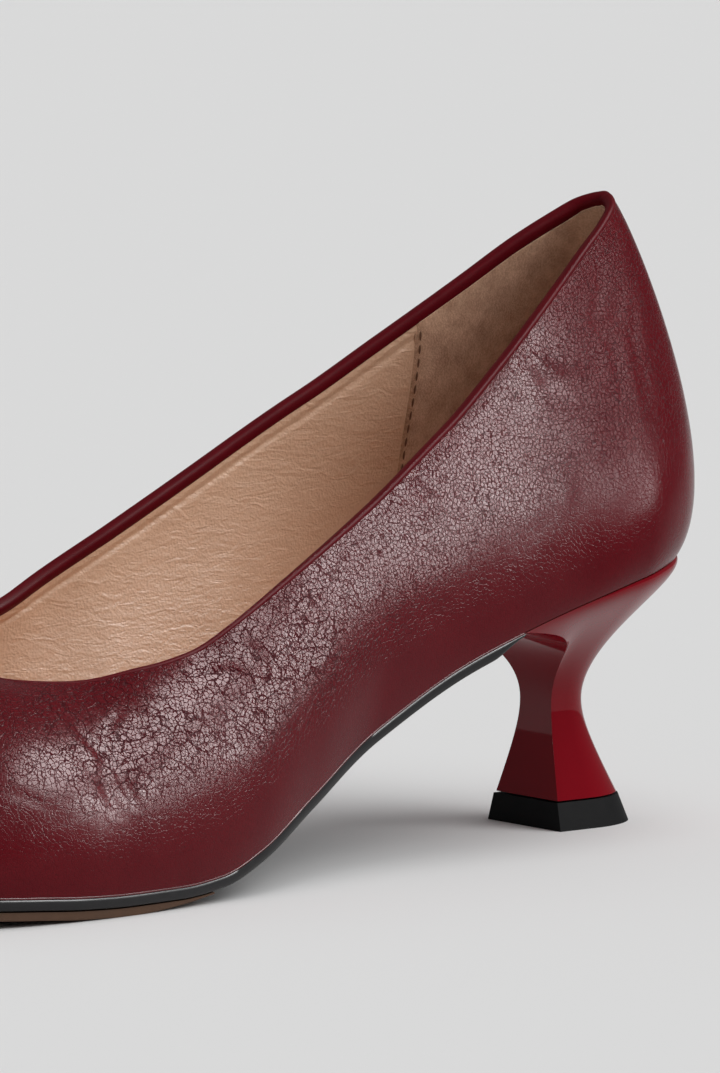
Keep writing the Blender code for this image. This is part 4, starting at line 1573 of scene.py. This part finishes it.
@dataclass
class SoleUnit:
    """Insole with its sock, black-edged outsole, tan forepart layer and the feather cord."""

    last: Last
    gap: float = 0.0003
    wall: float = 0.0019
    insole: float = 0.0022
    sock_spread: float = 0.0005
    insole_toe_room: float = 0.0070
    outsole: float = 0.0019
    outsole_skived: float = 0.0005
    outsole_skive: float = 0.0065
    seat_length: float = 0.0462
    tread: float = 0.0014
    tread_skived: float = 0.0004
    tread_start: float = 0.1210
    tread_skive: float = 0.0180
    tread_inset: float = 0.0007
    sock_crown: float = 0.0005
    # Rounded edges: how far each layer is drawn in, in mm, and its share of the way down
    sock_edge: Sequence[tuple[float, float]] = (
        (0.35, 0.0), (0.1, 0.08), (0.0, 0.32), (0.0, 1.0))
    outsole_edge: Sequence[tuple[float, float]] = (
        (0.35, 0.0), (0.10, 0.07), (0.0, 0.28), (0.02, 0.6), (0.14, 0.88), (0.36, 1.0))
    tread_edge: Sequence[tuple[float, float]] = ((0.0, 0.0), (0.0, 0.7), (0.18, 1.0))
    # Cord: half its width and height, and how far in its middle lies
    cord_mm: tuple[float, float] = (0.28, 0.22)
    cord_inset_mm: float = 0.25
    cord_sides: int = 10
    steps: int = 260
    slope_steps: int = 200

    def slope_factor(self, station: np.ndarray) -> np.ndarray:
        """Upright thickness of a sloping sheet for each metre of its own.

        Args:
            station: Distances from the seat's back.

        Returns:
            One factor for each.
        """
        step = self.last.length / self.slope_steps
        rise = self.last.sole_height(station + step) - self.last.sole_height(station - step)
        return np.hypot(1.0, rise / (2 * step))

    def insole_top(self, station: np.ndarray) -> np.ndarray:
        """Upper face of the insole."""
        return self.last.sole_height(station) + self.insole

    def outsole_top(self, station: np.ndarray) -> np.ndarray:
        """Upper face of the outsole."""
        return self.last.sole_height(station) - self.gap

    def outsole_bottom(self, station: np.ndarray) -> np.ndarray:
        """Under face of the outsole.

        Args:
            station: Distances from the seat's back.

        Returns:
            Heights over the floor.
        """
        share = ease((station - self.seat_length - self.gap) / self.outsole_skive)
        thickness = self.outsole_skived + (self.outsole - self.outsole_skived) * share
        return self.outsole_top(station) - thickness * self.slope_factor(station)

    def tread_top(self, station: np.ndarray) -> np.ndarray:
        """Upper face of the forepart layer."""
        return self.outsole_bottom(station) - self.gap

    def tread_bottom(self, station: np.ndarray) -> np.ndarray:
        """Under face of the forepart layer.

        Args:
            station: Distances from the seat's back.

        Returns:
            Heights over the floor.
        """
        share = ease((station - self.tread_start) / self.tread_skive)
        thickness = self.tread_skived + (self.tread - self.tread_skived) * share
        return self.tread_top(station) - thickness

    @staticmethod
    def between(top: Heights, bottom: Heights, share: float) -> Heights:
        """Height at a share of the way down from one face to another."""
        return lambda station: top(station) * (1 - share) + bottom(station) * share

    def layers(
        self, edge: Sequence[tuple[float, float]], inset: float, top: Heights, bottom: Heights
    ) -> list[tuple[float, Heights]]:
        """Layers of a slab, from the profile of its edge.

        Args:
            edge: The profile.
            inset: How far in the edge lies where it isn't drawn in.
            top: Upper face.
            bottom: Under face.

        Returns:
            The inset and the height of each layer.
        """
        return [(inset + drawn * MM, self.between(top, bottom, share)) for drawn, share in edge]

    def build(
        self,
        sock: bpy.types.Material,
        edge: bpy.types.Material,
        tan: bpy.types.Material,
        cord: bpy.types.Material,
    ) -> None:
        """Build the layers under the foot.

        Args:
            sock: Finish of the insole's sock.
            edge: Finish of the outsole.
            tan: Finish of the forepart layer.
            cord: Finish of the feather cord.
        """
        last = self.last
        inset = self.wall + self.gap - self.sock_spread
        end = last.distance_at(last.length - self.insole_toe_room)
        layers = self.layers(self.sock_edge, inset, self.insole_top, last.sole_height)
        points, faces = Slab(last, 0.0, end, layers, self.steps, crown=self.sock_crown).build()
        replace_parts(make_piece("sock_and_insole", points, faces, sock), "insole")
        start = last.distance_at(self.seat_length + self.gap)
        layers = self.layers(self.outsole_edge, 0.0, self.outsole_top, self.outsole_bottom)
        points, faces = Slab(last, start, last.girth, layers, self.steps).build()
        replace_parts(make_piece("outsole_leather", points, faces, edge), "outsole")
        start = last.distance_at(self.tread_start)
        layers = self.layers(
            self.tread_edge, self.tread_inset, self.tread_top, self.tread_bottom)
        points, faces = Slab(last, start, last.girth, layers, self.steps).build()
        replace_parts(make_piece("forepart_tread", points, faces, tan), "tread")
        self.build_cord(cord)

    def build_cord(self, finish: bpy.types.Material) -> None:
        """Thin line of turned-under leather between the upper and the outsole.

        Args:
            finish: Its finish.
        """
        last = self.last
        start = last.distance_at(self.seat_length + 2 * self.gap)
        half = np.linspace(start, last.girth, self.steps)
        signed = np.concatenate([half, -half[-2::-1]])
        plan = last.inset(signed, self.cord_inset_mm * MM)
        height = last.sole_height(plan[:, 0]) - self.gap / 2
        centres = np.column_stack([plan[:, 0] - last.heel_setback, plan[:, 1], height])
        normal = last.normal(signed)
        outward = np.column_stack([normal, np.zeros(len(normal))])
        up = np.tile([0.0, 0.0, 1.0], (len(centres), 1))
        ring = oval(self.cord_sides, *(half * MM for half in self.cord_mm))
        points, faces = swept(centres, outward, up, ring, closed=False)
        make_piece("feather_cord", points, faces, finish)


@dataclass
class Heel:
    """Lacquered spool heel and its rubber top piece."""

    last: Last
    sole: SoleUnit
    seat_inset: float = 0.0003
    waist_height: float = 0.0212
    waist_width: float = 0.0082
    waist_depth: float = 0.0091
    waist_breast: float = 0.0080
    foot_width: float = 0.0162
    foot_depth: float = 0.0178
    foot_breast: float = 0.0098
    rest_width: float = 0.0192
    rest_depth: float = 0.0207
    top_piece: float = 0.0047
    side_straight: float = 0.39
    roundness: float = 0.35
    cup_rise: tuple[float, float] = (0.40, 0.56)
    cup_fall: tuple[float, float] = (0.10, 0.14)
    cup_pull_along: tuple[float, float] = (-0.22, 0.85)
    cup_pull_across: tuple[float, float] = (-0.22, 0.22)
    side_steps: int = 96
    breast_steps: int = 24
    foot_rings: int = 30
    cup_rings: int = 48
    top_piece_rings: int = 8
    samples: int = 400
    edge_mm: float = 0.30
    edge_deg: float = 40.0
    edge_segments: int = 3

    def outline(self, breast: float, depth: float, width: float) -> np.ndarray:
        """D-shaped ring from the outer breast corner round the back to the inner one.

        Args:
            breast: Place of the breast along the shoe.
            depth: Depth of the ring.
            width: Width of the ring.

        Returns:
            Points of the plan.
        """
        half, straight = width / 2, self.side_straight * depth
        turn = np.linspace(0.0, math.pi, self.samples)
        centre, reach = breast - straight, depth - straight
        walk = np.column_stack([centre - reach * np.sin(turn), half * np.cos(turn)])
        walk = np.concatenate([[(breast, half)], walk, [(breast, -half)]])
        return self.spread(walk, self.side_steps)

    @staticmethod
    def spread(walk: np.ndarray, steps: int) -> np.ndarray:
        """Points at equal distances along a line of points.

        Args:
            walk: Points of the line.
            steps: Number of steps.

        Returns:
            The points.
        """
        run = run_of(walk)
        goal = np.linspace(0.0, run[-1], steps + 1)
        return np.stack([np.interp(goal, run, walk[:, k]) for k in range(walk.shape[1])], axis=1)

    def with_breast(self, ring: np.ndarray) -> np.ndarray:
        """Ring closed along the breast, from the inner corner to the outer one."""
        share = np.linspace(0.0, 1.0, self.breast_steps + 1)[1:-1, None]
        return np.concatenate([ring, ring[-1] + (ring[0] - ring[-1]) * share])

    def level_ring(self, breast: float, depth: float, width: float, height: float) -> np.ndarray:
        """Level ring of the column or the top piece."""
        ring = self.outline(breast, depth, width)
        return self.with_breast(np.column_stack([ring, np.full(len(ring), height)]))

    def seat_ring(self) -> np.ndarray:
        """Ring of the heel seat under the upper, from breast corner to breast corner.

        Returns:
            Points of the ring.
        """
        front = self.last.distance_at(self.sole.seat_length)
        signed = np.linspace(front, -front, self.side_steps + 1)
        plan = self.last.inset(signed, self.seat_inset)
        height = self.sole.outsole_top(plan[:, 0])
        plan[:, 0] -= self.last.heel_setback
        return self.with_breast(np.column_stack([plan, height]))

    def cup(self, waist: np.ndarray, seat: np.ndarray) -> list[np.ndarray]:
        """Rings of the cup that flares from the waist up to the seat.

        Args:
            waist: Ring of the waist.
            seat: Ring of the seat, of the same size.

        Returns:
            The rings from below, without the waist's.
        """
        station = np.maximum(seat[:, 0] + self.last.heel_setback, 0.0)
        front = (station / self.sole.seat_length) ** 2
        mix = [back + (breast - back) * front for back, breast in (
            self.cup_rise, self.cup_fall, self.cup_pull_along, self.cup_pull_across)]
        rise, fall, along, across = mix
        height = seat[:, 2] - waist[:, 2]
        first = waist + np.column_stack([0 * height, 0 * height, rise * height])
        second = np.column_stack([
            seat[:, 0] + (waist[:, 0] - seat[:, 0]) * along,
            seat[:, 1] + (waist[:, 1] - seat[:, 1]) * across,
            seat[:, 2] - fall * height,
        ])
        steps = np.linspace(0.0, 1.0, self.cup_rings + 1)[1:]
        lines = bezier((waist, first, second, seat), steps)
        return [lines[:, k] for k in range(len(steps))]

    def grown(self, share: float) -> float:
        """Growth of the column away from its waist, round at first and then straight."""
        full = math.hypot(1.0, self.roundness) - self.roundness
        return (math.hypot(share, self.roundness) - self.roundness) / full

    def rings_solid(self, rings: list[np.ndarray]) -> tuple[np.ndarray, list]:
        """Closed solid of rings, with a flat cap below and one above.

        Args:
            rings: Rings from below, all of the same size.

        Returns:
            Points and faces.
        """
        size = len(rings[0])
        faces = []
        for r in range(len(rings) - 1):
            low, high = r * size, (r + 1) * size
            faces += [[low + (k + 1) % size, low + k, high + k, high + (k + 1) % size]
                      for k in range(size)]
        for base, turn in ((0, 1), ((len(rings) - 1) * size, -1)):
            faces += [[base + n for n in face][::turn] for face in self.cap()]
        return np.concatenate(rings), faces

    def cap(self) -> list[list[int]]:
        """Faces across a ring, in strips from its outer side to its inner side.

        Returns:
            Faces by the numbers of the ring's points.
        """
        sides, last = self.side_steps, self.side_steps // 2 - 1
        strips = [[k, k + 1, sides - k - 1, sides - k] for k in range(1, last)]
        front = [0, 1, sides - 1, sides] + [sides + k for k in range(1, self.breast_steps)]
        return strips + [[last, last + 1, sides - last], front]

    def build(self, lacquer: bpy.types.Material, rubber: bpy.types.Material) -> None:
        """Build the heel and its top piece.

        Args:
            lacquer: Finish of the heel.
            rubber: Finish of the top piece.
        """
        rings = []
        foot = self.top_piece + self.sole.gap
        for k in range(self.foot_rings + 1):
            share = 1 - k / self.foot_rings
            grown = self.grown(share)
            rings.append(self.level_ring(
                self.waist_breast + (self.foot_breast - self.waist_breast) * grown,
                self.waist_depth + (self.foot_depth - self.waist_depth) * grown,
                self.waist_width + (self.foot_width - self.waist_width) * grown,
                self.waist_height + (foot - self.waist_height) * share,
            ))
        rings += self.cup(rings[-1], self.seat_ring())
        points, faces = self.rings_solid(rings)
        heel = make_piece("heel_spool", points, faces, lacquer, self.edge_deg)
        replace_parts(heel, "heel")
        self.soften(heel)
        gap = self.sole.gap
        rings = [
            self.level_ring(self.rest_depth / 2, self.rest_depth, self.rest_width, 0.0),
            self.level_ring(self.foot_breast + gap, self.foot_depth + 2 * gap,
                            self.foot_width + 2 * gap, self.top_piece),
        ]
        steps = self.top_piece_rings
        rings = [rings[0] + (rings[1] - rings[0]) * k / steps for k in range(steps + 1)]
        points, faces = self.rings_solid(rings)
        piece = make_piece(
            "heel_top_piece", points, faces, rubber, self.edge_deg)
        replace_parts(piece, "top_piece")
        self.soften(piece)

    def soften(self, piece: bpy.types.Object) -> None:
        """Round the sharp edges of a piece a little, as sanding and spraying do.

        Args:
            piece: The piece.
        """
        bevel = piece.modifiers.new("edge", "BEVEL")
        bevel.width = self.edge_mm * MM
        bevel.segments = self.edge_segments
        bevel.limit_method = "ANGLE"
        bevel.angle_limit = math.radians(self.edge_deg)
        bevel.harden_normals = True


class Lamp(NamedTuple):
    """A sun lamp: broad for light on everything, or a strip that named pieces mirror."""

    name: str
    turn: float        # degrees from the picture's right towards the camera
    rise: float        # degrees over the floor
    strength: float
    spread: float      # width of its disc in degrees
    pieces: Sequence[str] = ()    # that mirror it, none for a broad lamp


LAMPS = (
    Lamp("softbox_over", 20.0, 66.0, 1.64, 60.0),
    Lamp("softbox_right", 20.0, 36.0, 1.10, 45.0),
    Lamp("softbox_behind", 290.0, 60.0, 0.25, 60.0),
    Lamp("strip_low", 1.0, 13.0, 1.4, 12.0, ("upper_leather",)),
    Lamp("strip_middle", 10.0, 23.0, 1.6, 11.0, ("upper_leather",)),
    Lamp("strip_high", 9.0, 49.0, 7.6, 33.0, (
        "upper_leather", "topline_fold", "lining_leather", "heel_grip",
        "outsole_leather", "feather_cord", "heel_top_piece")),
    Lamp("strip_heel", 50.0, 18.0, 2.0, 18.0, ("heel_spool",)),
)


@dataclass
class Studio:
    """Pale floor, broad lamps, strips that the shoe mirrors, and the picture's camera."""

    floor_radius: float = 14.0
    floor_sides: int = 64
    room_strength: float = 0.20
    image_height: int = 1073
    sensor_mm: float = 36.0
    pixels_per_metre: float = 6068.7
    distance: float = 2.3
    target: tuple[float, float, float] = (0.06698, 0.02497, 0.05614)
    turn_deg: float = 39.308
    elevation_deg: float = 7.207
    roll_deg: float = 0.2616
    clip: tuple[float, float] = (0.1, 40.0)

    def build(self) -> None:
        """Build the floor, the lights and the camera."""
        self.build_floor()
        self.build_lights()
        self.build_camera()

    def build_floor(self) -> None:
        """Wide round floor, matt and nearly even."""
        ring = [(*place, 0.0) for place in oval(
            self.floor_sides, self.floor_radius, self.floor_radius)]
        mesh = bpy.data.meshes.new("studio_floor")
        mesh.from_pydata(ring, [], [list(range(self.floor_sides))])
        mesh.materials.append(FLOOR_PAPER.material())
        floor = bpy.data.objects.new("studio_floor", mesh)
        bpy.context.scene.collection.objects.link(floor)

    def build_lights(self) -> None:
        """Even room light and the lamps.

        A broad lamp gives light and colour without a highlight. A strip gives only the
        highlight, and light linking aims it at its pieces.
        """
        world = bpy.data.worlds.new("studio_room")
        bpy.context.scene.world = world
        world.use_nodes = True
        sky = world.node_tree.nodes["Background"]
        sky.inputs["Color"].default_value = (1.0, 1.0, 1.0, 1.0)
        sky.inputs["Strength"].default_value = self.room_strength
        for lamp in LAMPS:
            sun = bpy.data.lights.new(lamp.name, "SUN")
            sun.energy, sun.angle = lamp.strength, math.radians(lamp.spread)
            light = bpy.data.objects.new(lamp.name, sun)
            light.rotation_mode = "QUATERNION"
            heading = self.heading(lamp.turn, lamp.rise)
            light.rotation_quaternion = heading.to_track_quat("Z", "Y")
            light.visible_glossy = bool(lamp.pieces)
            light.visible_diffuse = not lamp.pieces
            if lamp.pieces:
                lit = bpy.data.collections.new(f"lit_by_{lamp.name}")
                for piece in lamp.pieces:
                    lit.objects.link(bpy.data.objects[piece])
                light.light_linking.receiver_collection = lit
            bpy.context.scene.collection.objects.link(light)

    def heading(self, turn: float, rise: float) -> Vector:
        """Direction to a light.

        Args:
            turn: Degrees from the picture's right towards the camera.
            rise: Degrees over the floor.

        Returns:
            The direction in the frame.
        """
        side, up = math.radians(180.0 - self.turn_deg - turn), math.radians(rise)
        return Vector((math.cos(side) * math.cos(up), math.sin(side) * math.cos(up),
                       math.sin(up)))

    def build_camera(self) -> None:
        """Camera at the picture's own angle, distance and length of lens."""
        turn, rise, roll = (math.radians(a) for a in (
            self.turn_deg, self.elevation_deg, self.roll_deg))
        back = Vector((math.sin(turn) * math.cos(rise),
                       math.cos(turn) * math.cos(rise), math.sin(rise)))
        right = Vector((-math.cos(turn), math.sin(turn), 0.0))
        up = back.cross(right)
        right, up = (right * math.cos(roll) + up * math.sin(roll),
                     up * math.cos(roll) - right * math.sin(roll))
        place = Vector(self.target) + back * self.distance
        data = bpy.data.cameras.new("picture_camera")
        data.sensor_width = self.sensor_mm
        data.lens = self.pixels_per_metre * self.distance * self.sensor_mm / self.image_height
        data.clip_start, data.clip_end = self.clip
        camera = bpy.data.objects.new("picture_camera", data)
        camera.matrix_world = Matrix((
            (right.x, up.x, back.x, place.x),
            (right.y, up.y, back.y, place.y),
            (right.z, up.z, back.z, place.z),
            (0.0, 0.0, 0.0, 1.0),
        ))
        bpy.context.scene.collection.objects.link(camera)
        bpy.context.scene.camera = camera


def main() -> None:
    """Load the frame, dress the shoe and light it."""
    logging.basicConfig(level=logging.INFO, format="%(name)s %(message)s")
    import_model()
    bpy.context.scene.view_settings.view_transform = "Standard"
    last = Last()
    leather = GrainedLeather().material()
    upper = Upper(last)
    fold = GrainedLeather("calf_fold_polished", roughness=0.42, shine=0.06)
    upper.build(leather, fold.material())
    Lining(last, upper).build(
        LiningLeather().material(), GripSuede().material(), SEAM_THREAD.material())
    sole = SoleUnit(last)
    sole.build(LiningLeather("sock_leather_smooth", wrinkle_mm=3.0).material(),
               EDGE_INK.material(), SOLE_LEATHER.material(), WELT_CORD.material())
    Heel(last, sole).build(HEEL_LACQUER.material(), TOP_PIECE_RUBBER.material())
    Studio().build()


if __name__ == "__main__":
    main()
